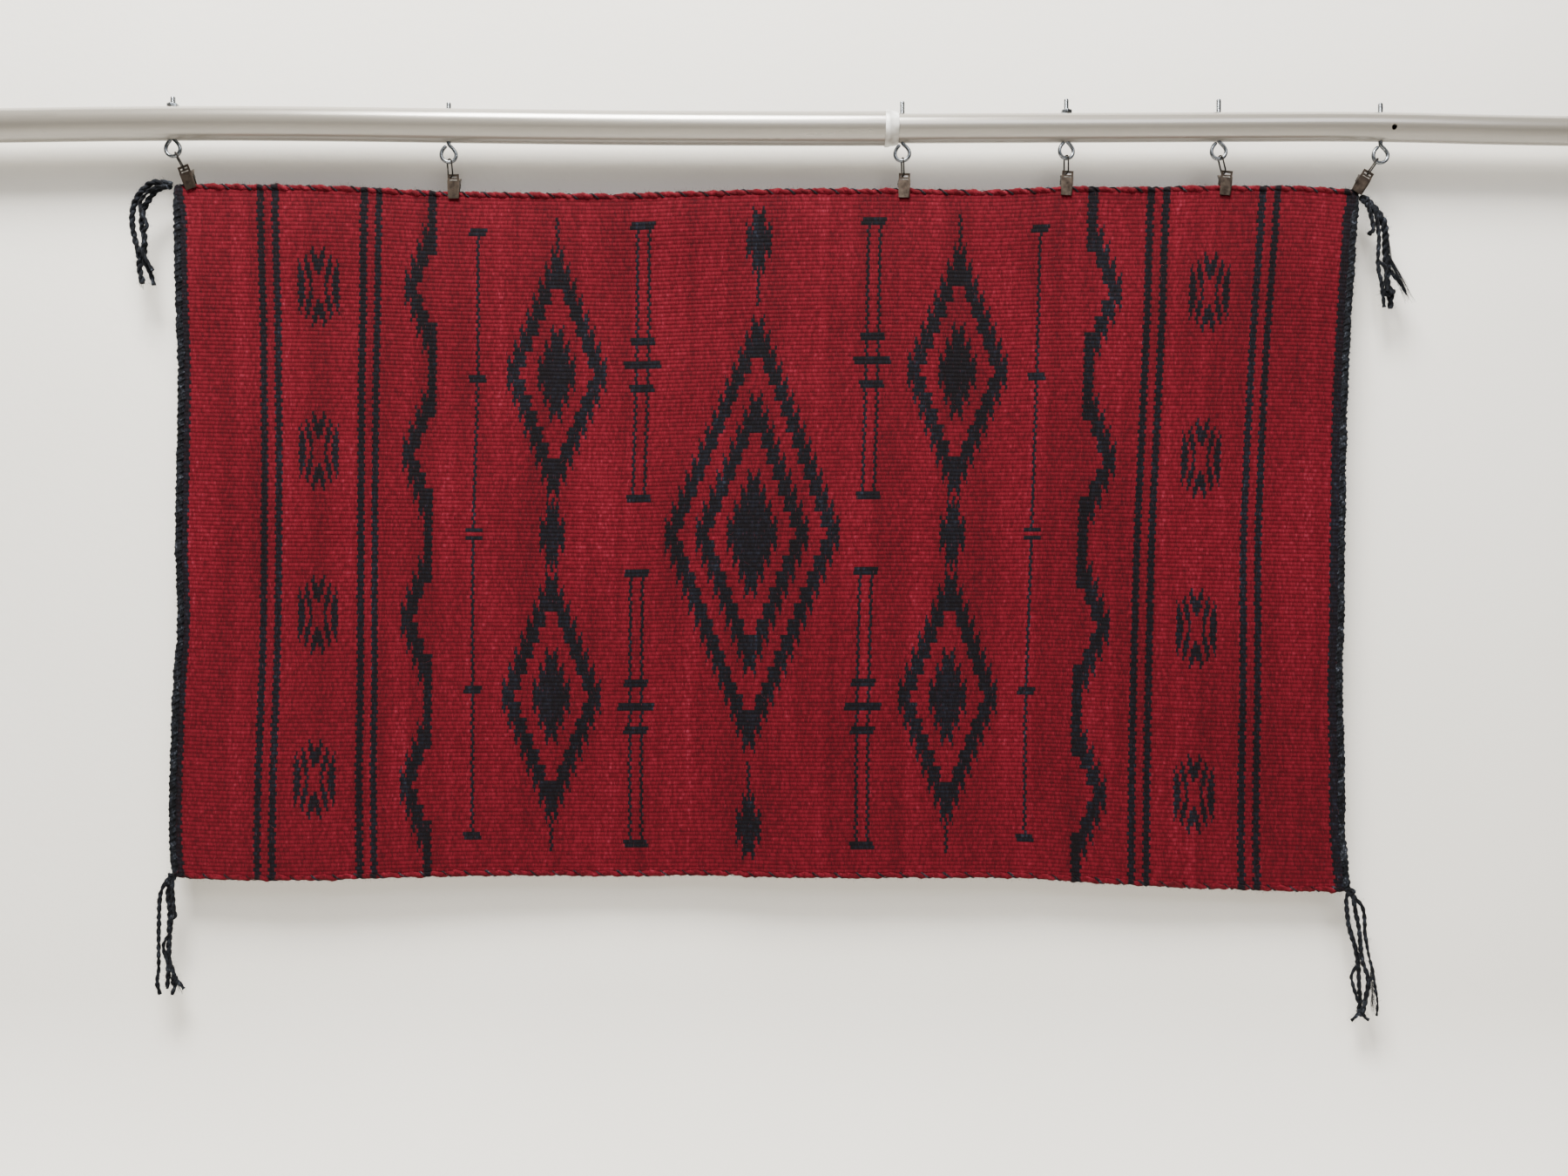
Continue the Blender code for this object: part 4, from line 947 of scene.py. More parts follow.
def web_mesh(weave):
    """A closed sheet on the rug's folds, a few rows for each rib, with its place in the design."""
    rows, columns = weave.rib_count * weave.rows_a_rib, weave.columns
    half = weave.web_thickness / 2 / MM
    tuck = TUCK / (web_height(0.0, 1.0) - web_height(0.0, 0.0))
    front, back, marks = [], [], []
    for i in range(rows + 1):
        share = -tuck + (1 + 2 * tuck) * i / rows
        knots = drift_knots(share)
        for j in range(columns + 1):
            place = WEB_LEFT - TUCK + (WEB_RIGHT - WEB_LEFT + 2 * TUCK) * j / columns
            x = placed_x(knots, place)
            z = web_height(x, share)
            y = fold_depth(x, z)
            front.append(Vector((x, y - half, z)) * MM)
            back.append(Vector((x, y + half, z)) * MM)
            marks.append((place, share * weave.rib_count, 0.0))
    width, count = columns + 1, len(front)
    faces = []
    for i in range(rows):
        for j in range(columns):
            corner = i * width + j
            faces.append((corner, corner + 1, corner + width + 1, corner + width))
            faces.append((corner + count, corner + width + count, corner + width + 1 + count,
                          corner + 1 + count))
    rim = [*range(width),
           *(i * width + columns for i in range(1, rows + 1)),
           *(rows * width + j for j in range(columns - 1, -1, -1)),
           *(i * width for i in range(rows - 1, 0, -1))]
    for start, end in zip(rim, [*rim[1:], rim[0]]):
        faces.append((start, start + count, end + count, end))
    mesh = bpy.data.meshes.new("rug_web")
    mesh.from_pydata([*front, *back], [], faces)
    attribute = mesh.attributes.new("weave", "FLOAT_VECTOR", "POINT")
    attribute.data.foreach_set("vector", [value for mark in (*marks, *marks) for value in mark])
    return mesh


def ply_tree(name, plies):
    """Twists plies round a route. Each ply is a distance from the middle, a radius, a place round
    it in turns and a material, the sizes as shares of the cord's radius."""
    tree, given = new_tree(name, (("Step", "Float", 0.0015), ("Turn length", "Float", 0.018),
                                  ("Roughness", "Float", 0.0002)))
    route = add(tree, "GeometryNodeResampleCurve", given["Geometry"],
                named={"Length": given["Step"]}, mode="LENGTH")
    length = add(tree, "GeometryNodeSplineParameter", out="Length")
    turns = add(tree, MATH, length, given["Turn length"], operation="DIVIDE")
    tilt = add(tree, MATH, turns, 2 * math.pi, operation="MULTIPLY")
    route = add(tree, "GeometryNodeSetCurveTilt", route, named={"Tilt": tilt})
    radius = add(tree, "GeometryNodeInputRadius")
    join = tree.nodes.new("GeometryNodeJoinGeometry")
    for distance, size, turn, material in plies:
        angle = 2 * math.pi * turn
        ring = add(tree, "GeometryNodeCurvePrimitiveCircle", PLY_SIDES, named={"Radius": size * MM})
        place = (distance * MM * math.cos(angle), distance * MM * math.sin(angle), 0.0)
        ring = add(tree, "GeometryNodeTransform", ring, named={"Translation": place})
        ply = add(tree, "GeometryNodeCurveToMesh", route, ring,
                  named={"Scale": radius, "Fill Caps": True})
        ply = add(tree, "GeometryNodeSetMaterial", ply, named={"Material": material})
        tree.links.new(ply, join.inputs[0])
    fine = add(tree, "ShaderNodeTexNoise", named={"Scale": 420.0, "Detail": 2.0})
    coarse = add(tree, "ShaderNodeTexNoise", named={"Scale": 75.0, "Detail": 1.0})
    bumps = add(tree, MATH, coarse, 1.4, fine, operation="MULTIPLY_ADD")
    bumps = add(tree, MATH, bumps, 1.2, operation="SUBTRACT")
    uneven = add(tree, MATH, bumps, given["Roughness"], operation="MULTIPLY")
    normal = add(tree, "GeometryNodeInputNormal")
    offset = add(tree, "ShaderNodeVectorMath", normal, named={"Scale": uneven}, operation="SCALE")
    geometry = add(tree, "GeometryNodeSetPosition", join.outputs[0], named={"Offset": offset})
    close_tree(tree, geometry)
    return tree


def fuzz_tree(name, material):
    """Scatters fine bent fibres over a surface."""
    tree, given = new_tree(name, (("Density", "Float", 1000.0), ("Fibre length", "Float", 0.008),
                                  ("Fibre radius", "Float", 0.00008), ("Lean", "Float", 1.2),
                                  ("Seed", "Int", 1)))
    points = add(tree, "GeometryNodeDistributePointsOnFaces", given["Geometry"],
                 named={"Density": given["Density"], "Seed": given["Seed"]}).node
    turn_low = add(tree, MATH, given["Lean"], -1.0, operation="MULTIPLY")
    lowest = add(tree, "ShaderNodeCombineXYZ", turn_low, turn_low, -math.pi)
    highest = add(tree, "ShaderNodeCombineXYZ", given["Lean"], given["Lean"], math.pi)
    turned = add(tree, "FunctionNodeRandomValue", lowest, highest, named={"Seed": given["Seed"]},
                 data_type="FLOAT_VECTOR")
    turned = add(tree, "FunctionNodeRotateRotation", points.outputs["Rotation"], turned,
                 rotation_space="LOCAL")
    # The node's number sockets share their names with others: 2 is the least and 3 the most.
    size = add(tree, "FunctionNodeRandomValue", named={2: 0.35, 3: 1.2, "Seed": given["Seed"]},
               data_type="FLOAT", out=1)
    length = given["Fibre length"]
    bend_side, bend_up, tip_side = (add(tree, MATH, length, share, operation="MULTIPLY")
                                    for share in (0.35, 0.5, 0.3))
    bend = add(tree, "ShaderNodeCombineXYZ", bend_side, 0.0, bend_up)
    tip = add(tree, "ShaderNodeCombineXYZ", 0.0, tip_side, length)
    fibre = add(tree, "GeometryNodeCurveQuadraticBezier", 3, (0.0, 0.0, 0.0), bend, tip)
    section = add(tree, "GeometryNodeCurvePrimitiveCircle", FIBRE_SIDES,
                  named={"Radius": given["Fibre radius"]})
    fibre = add(tree, "GeometryNodeCurveToMesh", fibre, section, named={"Fill Caps": True})
    fibres = add(tree, "GeometryNodeInstanceOnPoints", points.outputs["Points"],
                 named={"Instance": fibre, "Rotation": turned, "Scale": size})
    close_tree(tree, fibres, material)
    return tree


def fuzz_on(source, tree, name, values):
    """Grow fibres over a copy of a finished piece."""
    copy = scene_object(name + "_base", source.data.copy())
    return grown(copy, tree, values, name)


def settled(obj):
    """Apply an object's modifiers, so that its mesh holds its shape."""
    mesh = evaluated_mesh(obj)
    obj.modifiers.clear()
    obj.data = mesh
    return obj


def smoothed(mesh):
    """Shade a mesh smooth, but for its sharp edges."""
    mesh.shade_smooth()
    mesh.set_sharp_from_angle(angle=SHARP_EDGE)


def dressed_copy(node, name, material, bevel):
    """A copy of a solid with its facets merged and its edges rounded."""
    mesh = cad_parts[node].data.copy()
    work = bmesh.new()
    work.from_mesh(mesh)
    bmesh.ops.remove_doubles(work, verts=work.verts, dist=WELD_REACH)
    bmesh.ops.dissolve_limit(work, angle_limit=FLAT_FACET, verts=work.verts, edges=work.edges)
    work.to_mesh(mesh)
    work.free()
    mesh.materials.clear()
    mesh.materials.append(material)
    obj = scene_object(name, mesh)
    rounding = obj.modifiers.new("Rounded edges", "BEVEL")
    rounding.width = bevel * MM
    rounding.segments = 2
    rounding.limit_method = "ANGLE"
    rounding.angle_limit = BEVELLED_EDGE
    smoothed(mesh)
    return settled(obj)


def colour_setting(name, description, code):
    """A colour in the panel, from its sRGB hex code."""
    return bpy.props.FloatVectorProperty(name=name, description=description, size=4,
                                         subtype="COLOR", default=linear(code))


def length_setting(name, description, default):
    """A length in the panel, in metres."""
    return bpy.props.FloatProperty(name=name, description=description, default=default,
                                   subtype="DISTANCE", unit="LENGTH")


class WeaveSettings(bpy.types.PropertyGroup):
    """The rug's weave and its wool"""
    rib_count: bpy.props.IntProperty(
        name="Ribs", description="Ribs from the bottom edge to the top edge", default=171, min=10)
    rows_a_rib: bpy.props.IntProperty(
        name="Rows a rib", description="Rows of faces for each rib", default=4, min=2)
    columns: bpy.props.IntProperty(
        name="Columns", description="Columns of faces across the web", default=56, min=10)
    web_thickness: length_setting("Web thickness", "Thickness of the web between its ribs", 0.0030)
    rib_height: length_setting("Rib height", "How far a rib stands out on each face", 0.0005)
    bead_mm: bpy.props.FloatProperty(
        name="Weft spacing", description="Width of one weft where it crosses a rib, in mm",
        default=1.5)
    sheen: bpy.props.FloatProperty(
        name="Sheen", description="How strongly loose fibres catch the light", default=0.10,
        subtype="FACTOR")
    valley_shade: bpy.props.FloatProperty(
        name="Valley shade", description="How dark the weave is between two ribs", default=0.84,
        subtype="FACTOR")
    red_deep: colour_setting("Deep red", "Red wool in its shade", "#2B0209")
    red_main: colour_setting("Red", "Red wool", "#46040E")
    red_bright: colour_setting("Bright red", "Red wool in light", "#590B18")
    red_tip: colour_setting("Red tip", "Brightest red fibres", "#712232")
    black_deep: colour_setting("Deep black", "Black wool in its shade", "#030304")
    black_main: colour_setting("Black", "Black wool", "#06070B")
    black_bright: colour_setting("Bright black", "Black wool in light", "#0E1119")
    black_tip: colour_setting("Black tip", "Brightest black fibres", "#262C38")
    cord_black: colour_setting("Cord black", "Black cord yarn", "#0B0C0F")
    cord_bright: colour_setting("Bright cord", "Black cord yarn in light", "#1E2127")
    cord_tip: colour_setting("Cord tip", "Brightest fibres of black cord yarn", "#50545D")
    stray_fibre: colour_setting("Stray fibre", "Pale stray fibres", "#7E3543")


class RodSettings(bpy.types.PropertyGroup):
    """The rod's tubes and its collar"""
    sides: bpy.props.IntProperty(
        name="Sides", description="Sides of each tube's section", default=56)
    tube_white: colour_setting("White", "Enamel", "#878279")
    tube_worn: colour_setting("Worn white", "Handled enamel", "#817C73")
    tube_mark: colour_setting("Mark", "Scuffs on the enamel", "#757067")
    collar_white: colour_setting("Collar", "Moulded collar", "#F4F4F0")


class MetalSettings(bpy.types.PropertyGroup):
    """The bolts', links' and clips' metal"""
    zinc_low: colour_setting("Zinc shade", "Zinc plate's darker tone", "#4A4E52")
    zinc_high: colour_setting("Zinc", "Zinc plate's lighter tone", "#8E9296")
    wire_low: colour_setting("Wire shade", "Link wire's darker tone", "#141312")
    wire_high: colour_setting("Wire", "Link wire's lighter tone", "#35322F")
    bronze_low: colour_setting("Bronze shade", "Clip plate's darker tone", "#28221E")
    bronze_high: colour_setting("Bronze", "Clip plate's lighter tone", "#52483F")
    spring_low: colour_setting("Spring shade", "Spring steel's darker tone", "#4E4B48")
    spring_high: colour_setting("Spring", "Spring steel's lighter tone", "#8E8A85")


class StageSettings(bpy.types.PropertyGroup):
    """The wall and the floor"""
    wall_low: colour_setting("Wall shade", "Paint's darker tone", "#E0DDD6")
    wall_high: colour_setting("Wall", "Paint's lighter tone", "#E5E2DC")
    floor_tone: colour_setting("Floor", "Floor paint", "#B9B4AA")
    wall_distance: length_setting("Wall distance", "From the rod's axis to the wall", 0.032)
    floor_height: length_setting("Floor height", "Height of the floor below the rod", -1.16)


class OBJECT_OT_build_stage(bpy.types.Operator):
    """Add the camera, the pale wall and floor, and soft light"""
    bl_idname = "object.build_rug_stage"
    bl_label = "Build stage"

    def execute(self, context):
        settings = context.scene.rug_stage
        camera_data = bpy.data.cameras.new("camera")
        camera_data.sensor_width = SENSOR_WIDTH
        camera_data.lens = SENSOR_WIDTH * VIEW_DISTANCE / VIEW_WIDTH
        camera = scene_object("camera", camera_data)
        camera.location = (VIEW_MIDDLE[0], -VIEW_DISTANCE, VIEW_MIDDLE[1])
        camera.rotation_euler = (math.pi / 2, 0.0, 0.0)
        context.scene.camera = camera
        build_backdrop(settings)
        build_lights(context)
        return {"FINISHED"}


def build_backdrop(settings):
    """One sheet: a wall, a round foot and a floor."""
    half_width, top, reach, foot, foot_steps = 2.6, 0.75, 3.2, 0.25, 12
    wall, floor = settings.wall_distance, settings.floor_height
    outline = [(wall, top)]
    for step in range(foot_steps + 1):
        angle = math.pi / 2 * step / foot_steps
        outline.append((wall - foot + foot * math.cos(angle),
                        floor + foot - foot * math.sin(angle)))
    outline.append((-reach, floor))
    points = [(side * half_width, y, z) for y, z in outline for side in (-1, 1)]
    faces = [(i, i + 1, i + 3, i + 2) for i in range(0, len(points) - 2, 2)]
    mesh = bpy.data.meshes.new("wall_and_floor")
    mesh.from_pydata(points, [], [face[::-1] for face in faces])
    mesh.materials.append(wall_material(settings))
    mesh.shade_smooth()
    scene_object("wall_and_floor", mesh)


def build_lights(context):
    """Soft lights from the ceiling, the room and behind the rug, and a little light all round."""
    # Columns: name, place, where it points, width, height, power in watts, colour.
    lights = (
        ("ceiling_light", (-0.35, -1.30, 2.00), (0.05, -0.20, -0.50), 1.3, 1.0, 340.0, "#FFFDF8"),
        ("room_light", (0.9, -2.6, 1.5), (0.2, 0.0, -0.50), 2.6, 1.4, 60.0, "#FBFBFF"),
        ("back_light", (0.6, 2.2, 0.4), (0.0, 0.0, -0.45), 2.4, 1.8, 24.0, "#FFFFFF"),
    )
    for name, place, target, width, height, power, code in lights:
        data = bpy.data.lights.new(name, "AREA")
        data.shape = "RECTANGLE"
        data.size, data.size_y = width, height
        data.energy = power
        data.color = linear(code)[:3]
        lamp = scene_object(name, data)
        lamp.location = place
        lamp.rotation_euler = (Vector(target) - Vector(place)).to_track_quat("-Z", "Y").to_euler()
    world = context.scene.world or bpy.data.worlds.new("world")
    context.scene.world = world
    world.use_nodes = True
    background = world.node_tree.nodes["Background"]
    background.inputs["Color"].default_value = linear(AMBIENT_COLOUR)
    background.inputs["Strength"].default_value = AMBIENT_STRENGTH


class OBJECT_OT_build_web(bpy.types.Operator):
    """Weave the rug's web, with its ribs, design and soft folds"""
    bl_idname = "object.build_rug_web"
    bl_label = "Build rug web"

    def execute(self, context):
        weave = context.scene.rug_weave
        material = tapestry_material(weave)
        web = grown(scene_object("web_base", web_mesh(weave)), rib_tree(material),
                    {"Rib height": weave.rib_height}, "rug_web")
        web.data.set_sharp_from_angle(angle=SHARP_EDGE)
        hand_over(web, "red_wool", "rug")
        wool = yarn_material("red_wool_fibre", weave.red_main, weave.red_bright, weave.red_tip,
                             linear("#D07078"), "#E8A0A0")
        fuzz = fuzz_on(web, fuzz_tree("Face fuzz", wool), "web_fuzz", WEB_FUZZ)
        hand_over(fuzz, "red_wool")
        return {"FINISHED"}


def rounded_end(index, steps):
    """Share of a cord's radius near its two ends, where it rounds off."""
    left = min(index, steps - index)
    return END_SHARES[left] if left < len(END_SHARES) else 1.0


def end_cord_route(line, way):
    """Middle points and radii of an end cord from top to bottom. Way is 1 for the left end."""
    points, radii = [], []
    for i in range(END_CORD_STEPS + 1):
        share = END_CORD_TOP - END_CORD_RUN * i / END_CORD_STEPS
        x_edge = web_edge(line, min(share, 1.0), way)
        z = web_height(x_edge, share)
        radius = end_cord_radius(web_height(x_edge, 1.0) - z)
        points.append((x_edge - way * (radius + GAP), fold_depth(x_edge, z), z))
        radii.append(radius * rounded_end(i, END_CORD_STEPS))
    return points, radii, False


def side_cord_route(way):
    """Middle points and radii of a side cord from left to right. Way is 1 for the top edge."""
    share = 1.0 if way > 0 else 0.0
    start = web_edge(LEFT_LINE, share, 1) - CORNER_REACH
    end = web_edge(RIGHT_LINE, share, -1) + CORNER_REACH
    grips = [clip_point(hanger, 0.0, GRIP_HEIGHT)[0] for hanger in HANGERS] if way > 0 else []
    points, radii = [], []
    for i in range(SIDE_CORD_STEPS + 1):
        x = start + (end - start) * i / SIDE_CORD_STEPS
        held = sum(math.exp(-((x - grip) / GRIP_REACH) ** 4) for grip in grips)
        radius = LOOSE_CORD_RADIUS - (LOOSE_CORD_RADIUS - SIDE_CORD_RADIUS) * held
        z = web_height(x, share) + way * (2 * SIDE_CORD_RADIUS + GAP - radius)
        points.append((x, fold_depth(x, z), z))
        radii.append(radius * rounded_end(i, SIDE_CORD_STEPS))
    return points, radii, False


def mark_dark_turns(cord, share):
    """Mark where black weft turns over a side cord, so that each black band runs to the edge."""
    bands = [(WEB_LEFT - BAND_RUN_ON, WEB_LEFT + LEFT_BAND),
             (WEB_RIGHT - RIGHT_BAND, WEB_RIGHT + BAND_RUN_ON)]
    bands += [sorted((zigzag.column.place + zigzag.way * zigzag.start,
                      zigzag.column.place + zigzag.way * zigzag.end)) for zigzag in ZIGZAGS]
    for place in STRIPE_PLACES:
        for middle in (place - STRIPE_APART, place + STRIPE_APART):
            bands.append((middle - STRIPE_HALF, middle + STRIPE_HALF))
    knots = drift_knots(share)
    spans = [(placed_x(knots, start) * MM, placed_x(knots, end) * MM) for start, end in bands]
    marks = [float(any(start < vertex.co.x < end for start, end in spans))
             for vertex in cord.data.vertices]
    attribute = cord.data.attributes.new("dark_turn", "FLOAT", "POINT")
    attribute.data.foreach_set("value", marks)


class OBJECT_OT_build_cords(bpy.types.Operator):
    """Twist the cords along the rug's four edges"""
    bl_idname = "object.build_rug_cords"
    bl_label = "Build edge cords"

    def execute(self, context):
        weave = context.scene.rug_weave
        black = black_yarn(weave)
        red = yarn_material("red_wool_yarn", weave.red_deep, weave.red_main, weave.red_bright,
                            weave.red_tip, "#E8A0A0")
        end_tree = ply_tree("End cord", ((0.40, 0.63, 0.0, black), (0.40, 0.63, 0.5, black),
                                         (0.0, 0.86, 0.0, black)))
        for name, line, way in (("left", LEFT_LINE, 1), ("right", RIGHT_LINE, -1)):
            route = poly_curve(f"end_{name}_route", [end_cord_route(line, way)])
            cord = grown(route, end_tree, END_TWIST, f"{name}_end_cord")
            hand_over(cord, "black_wool", f"end_cord_{name}")
            fuzz = fuzz_on(cord, fuzz_tree(f"{name} cord fuzz", black), f"{name}_end_fuzz",
                           END_FUZZ)
            hand_over(fuzz, "black_wool")
        side_tree = ply_tree("Side cord", ((0.34, 0.80, 0.0, red), (0.16, 0.80, 0.30, red),
                                           (0.78, 0.27, 0.60, black), (0.0, 0.72, 0.0, red)))
        for name, way in (("top", 1), ("bottom", -1)):
            route = poly_curve(f"side_{name}_route", [side_cord_route(way)])
            cord = grown(route, side_tree, SIDE_TWIST, f"{name}_side_cord")
            mark_dark_turns(cord, 1.0 if way > 0 else 0.0)
            hand_over(cord, "red_wool", f"side_cord_{name}")
            fuzz = fuzz_on(cord, fuzz_tree(f"{name} cord fuzz", red), f"{name}_side_fuzz",
                           SIDE_FUZZ)
            hand_over(fuzz, "red_wool")
        return {"FINISHED"}


def black_yarn(weave):
    """The cords' and tassels' black yarn, made on its first use."""
    name = "black_wool_yarn"
    return bpy.data.materials.get(name) or yarn_material(
        name, weave.black_deep, weave.cord_black, weave.cord_bright, weave.cord_tip, "#888C96")


def knot_route(centre, half_width, half_height, radius):
    """A closed overhand knot, drawn out to the knot's size."""
    points = []
    for step in range(KNOT_STEPS):
        a = 2 * math.pi * step / KNOT_STEPS
        x = (math.sin(a) + 2 * math.sin(2 * a)) / 3
        z = (math.cos(a) - 2 * math.cos(2 * a)) / 3
        y = -math.sin(3 * a)
        points.append(centre + Vector((x * (half_width - radius * 0.6),
                                       y * (KNOT_DEPTH - radius) * 0.8,
                                       z * (half_height - radius * 0.6))))
    return points, [radius] * KNOT_STEPS, True


def tassel_routes(table):
    """Routes of a tassel's strands and knots."""
    head_x, head_z, strands, knots = table
    head = Vector((head_x, RUG_Y, head_z))
    routes = []
    for root, tip, back, route in strands:
        points = [head + Vector((x, 0.0 if i == 0 and math.hypot(x, z) < ROOT_REACH else back, z))
                  for i, (x, z) in enumerate(route)]
        path = smooth_route(points, STRAND_STEP)
        radii = [YARN_SWELL * (root + (tip - root) * i / (len(path) - 1))
                 for i in range(len(path))]
        routes.append((path, radii, False))
    for x, z, half_width, half_height in (HEAD_KNOT, *knots):
        radius = min(KNOT_YARN_RADIUS, KNOT_YARN_SHARE * min(half_width, half_height))
        routes.append(knot_route(head + Vector((x, 0.0, z)), half_width, half_height, radius))
    return routes


def lock_routes(lock, rng):
    """Fine fibres that leave a yarn together and spread towards their ends."""
    head_x, head_z = TASSELS[lock.tassel][:2]
    routes = []
    for _ in range(lock.count):
        reach = rng.uniform(0.55, 1.0)
        points = []
        aside, back, bow = rng.uniform(-1, 1), rng.uniform(-1, 1), rng.uniform(-1.5, 1.5)
        for step in range(LOCK_STEPS + 1):
            share = step / LOCK_STEPS
            width = LOCK_ROOT + (lock.spread - LOCK_ROOT) * share ** 1.6
            along = share * reach
            points.append((
                head_x + lock.start[0] + (lock.end[0] - lock.start[0]) * along + aside * width
                + bow * math.sin(math.pi * share),
                RUG_Y + 2.0 + back * width,
                head_z + lock.start[1] + (lock.end[1] - lock.start[1]) * along))
        radii = [LOCK_FIBRE_RADIUS] * LOCK_STEPS + [LOCK_TIP_RADIUS]
        routes.append((points, radii, False))
    return routes


class OBJECT_OT_build_tassels(bpy.types.Operator):
    """Ply and knot the yarns that hang from the rug's corners"""
    bl_idname = "object.build_rug_tassels"
    bl_label = "Build tassels"

    def execute(self, context):
        black = black_yarn(context.scene.rug_weave)
        yarn = ply_tree("Tassel yarn", ((0.34, 0.72, 0.0, black), (0.34, 0.72, 0.5, black)))
        for corner, table in TASSELS.items():
            route = poly_curve(f"{corner}_route", tassel_routes(table))
            tassel = grown(route, yarn, TASSEL_TWIST, f"{corner}_tassel")
            hand_over(tassel, "black_wool", f"tassel_{corner}")
            fuzz = fuzz_on(tassel, fuzz_tree(f"{corner} fuzz", black), f"{corner}_tassel_fuzz",
                           TASSEL_FUZZ)
            hand_over(fuzz, "black_wool")
        rng = random.Random(LOCK_SEED)
        routes = [route for lock in LOCKS for route in lock_routes(lock, rng)]
        locks = grown(poly_curve("lock_routes", routes), wire_tree("Loose fibres", black),
                      {"Sides": LOCK_SIDES}, "loose_locks")
        hand_over(locks, "black_wool")
        return {"FINISHED"}


def tube(name, axis, radius, wall, sides, material):
    """A bowed tube with open ends, its outer wall and inner wall joined by a rim at each end."""
    stations = smooth_route([Vector((x, 0.0, z)) for x, z in axis], TUBE_STEP)
    rings = [(station, radius) for station in stations]
    rings += [(station, radius - wall) for station in stations[::-1]]
    points, faces = [], []
    for station, size in rings:
        for side in range(sides):
            angle = 2 * math.pi * side / sides
            points.append(Vector((station.x, size * math.cos(angle),
                                  station.z + size * math.sin(angle))) * MM)
    count = len(rings)
    for ring in range(count):
        following = (ring + 1) % count
        for side in range(sides):
            next_side = (side + 1) % sides
            faces.append((ring * sides + side, ring * sides + next_side,
                          following * sides + next_side, following * sides + side))
    mesh = bpy.data.meshes.new(name)
    mesh.from_pydata(points, [], faces)
    mesh.materials.append(material)
    work = bmesh.new()
    work.from_mesh(mesh)
    bmesh.ops.recalc_face_normals(work, faces=work.faces)
    work.to_mesh(mesh)
    work.free()
    smoothed(mesh)
    return scene_object(name, mesh)


def drill(obj, place, radius, depth):
    """Cut a round hole into a tube's front wall."""
    mesh = bpy.data.meshes.new("drill")
    work = bmesh.new()
    bmesh.ops.create_cone(work, cap_ends=True, segments=DRILL_SIDES, radius1=radius * MM,
                          radius2=radius * MM, depth=depth * MM,
                          matrix=Matrix.Rotation(math.pi / 2, 4, "X"))
    work.to_mesh(mesh)
    work.free()
    cutter = scene_object("drill", mesh)
    cutter.location = Vector(place) * MM
    cut = obj.modifiers.new("Drilled hole", "BOOLEAN")
    cut.object = cutter
    settled(obj)
    bpy.data.objects.remove(cutter, do_unlink=True)


class OBJECT_OT_build_rod(bpy.types.Operator):
    """Draw the rod's two tubes and turn the collar between them"""
    bl_idname = "object.build_rug_rod"
    bl_label = "Build rod"

    def execute(self, context):
        rod = context.scene.rug_rod
        enamel = painted_tube_material(rod)
        left = tube("wide_tube", LEFT_AXIS, LEFT_RADIUS, LEFT_WALL, rod.sides, enamel)
        right = tube("narrow_tube", RIGHT_AXIS, RIGHT_RADIUS, RIGHT_WALL, rod.sides, enamel)
        drill(right, DRILLED_HOLE, DRILLED_HOLE_RADIUS, RIGHT_RADIUS)
        hand_over(left, "white_tube", "rod_left")
        hand_over(right, "white_tube", "rod_right")
        hand_over(collar(moulded_plastic_material(rod)), "white_plastic", "rod_collar")
        return {"FINISHED"}


def collar(material):
    """A turned ring that covers the wide tube's end and closes on the narrow one."""
    wide, narrow = LEFT_RADIUS + GAP, RIGHT_RADIUS + GAP
    bore = ((COLLAR_OUTLINE[-1][0], narrow), (COLLAR_SEAT, narrow), (COLLAR_SEAT, wide),
            (0.0, wide))
    outline = [(radius * MM, 0.0, -along * MM) for along, radius in (*COLLAR_OUTLINE, *bore)]
    mesh = bpy.data.meshes.new("collar")
    count = len(outline)
    mesh.from_pydata(outline, [(i, (i + 1) % count) for i in range(count)], [])
    ring = scene_object("collar", mesh)
    screw = ring.modifiers.new("Turn", "SCREW")
    screw.steps = screw.render_steps = COLLAR_SIDES
    screw.use_merge_vertices = True
    screw.merge_threshold = WELD_REACH
    settled(ring)
    place = Matrix.Translation(Vector((COLLAR_X, 0.0, COLLAR_Z)) * MM)
    ring.data.transform(place @ Matrix.Rotation(-math.pi / 2, 4, "Y"))
    ring.data.materials.clear()
    ring.data.materials.append(material)
    smoothed(ring.data)
    return ring


def thread_tree(material):
    """Winds a screw thread up each point's stud."""
    tree, given = new_tree("Stud thread", (("Stud radius", "Float", STUD_RADIUS * MM),
                                           ("Pitch", "Float", 0.00106),
                                           ("Length", "Float", THREAD_LENGTH * MM)))
    turns = add(tree, MATH, given["Length"], given["Pitch"], operation="DIVIDE")
    helix = add(tree, "GeometryNodeCurveSpiral", THREAD_STEPS, turns, given["Stud radius"],
                given["Stud radius"], given["Length"])
    section = add(tree, "GeometryNodeCurvePrimitiveCircle", 4,
                  named={"Radius": THREAD_RADIUS * MM})
    ridge = add(tree, "GeometryNodeCurveToMesh", helix, section, named={"Fill Caps": True})
    points = add(tree, "GeometryNodeMeshToPoints", given["Geometry"])
    studs = add(tree, "GeometryNodeInstanceOnPoints", points, named={"Instance": ridge})
    close_tree(tree, studs, material)
    return tree


def wire_tree(name, material):
    """Draws round wire along a route, thicker or thinner as the route says."""
    tree, given = new_tree(name, (("Sides", "Int", 20),))
    ring = add(tree, "GeometryNodeCurvePrimitiveCircle", given["Sides"], named={"Radius": MM})
    radius = add(tree, "GeometryNodeInputRadius")
    wire = add(tree, "GeometryNodeCurveToMesh", given["Geometry"], ring,
               named={"Scale": radius, "Fill Caps": True})
    close_tree(tree, wire, material)
    return tree


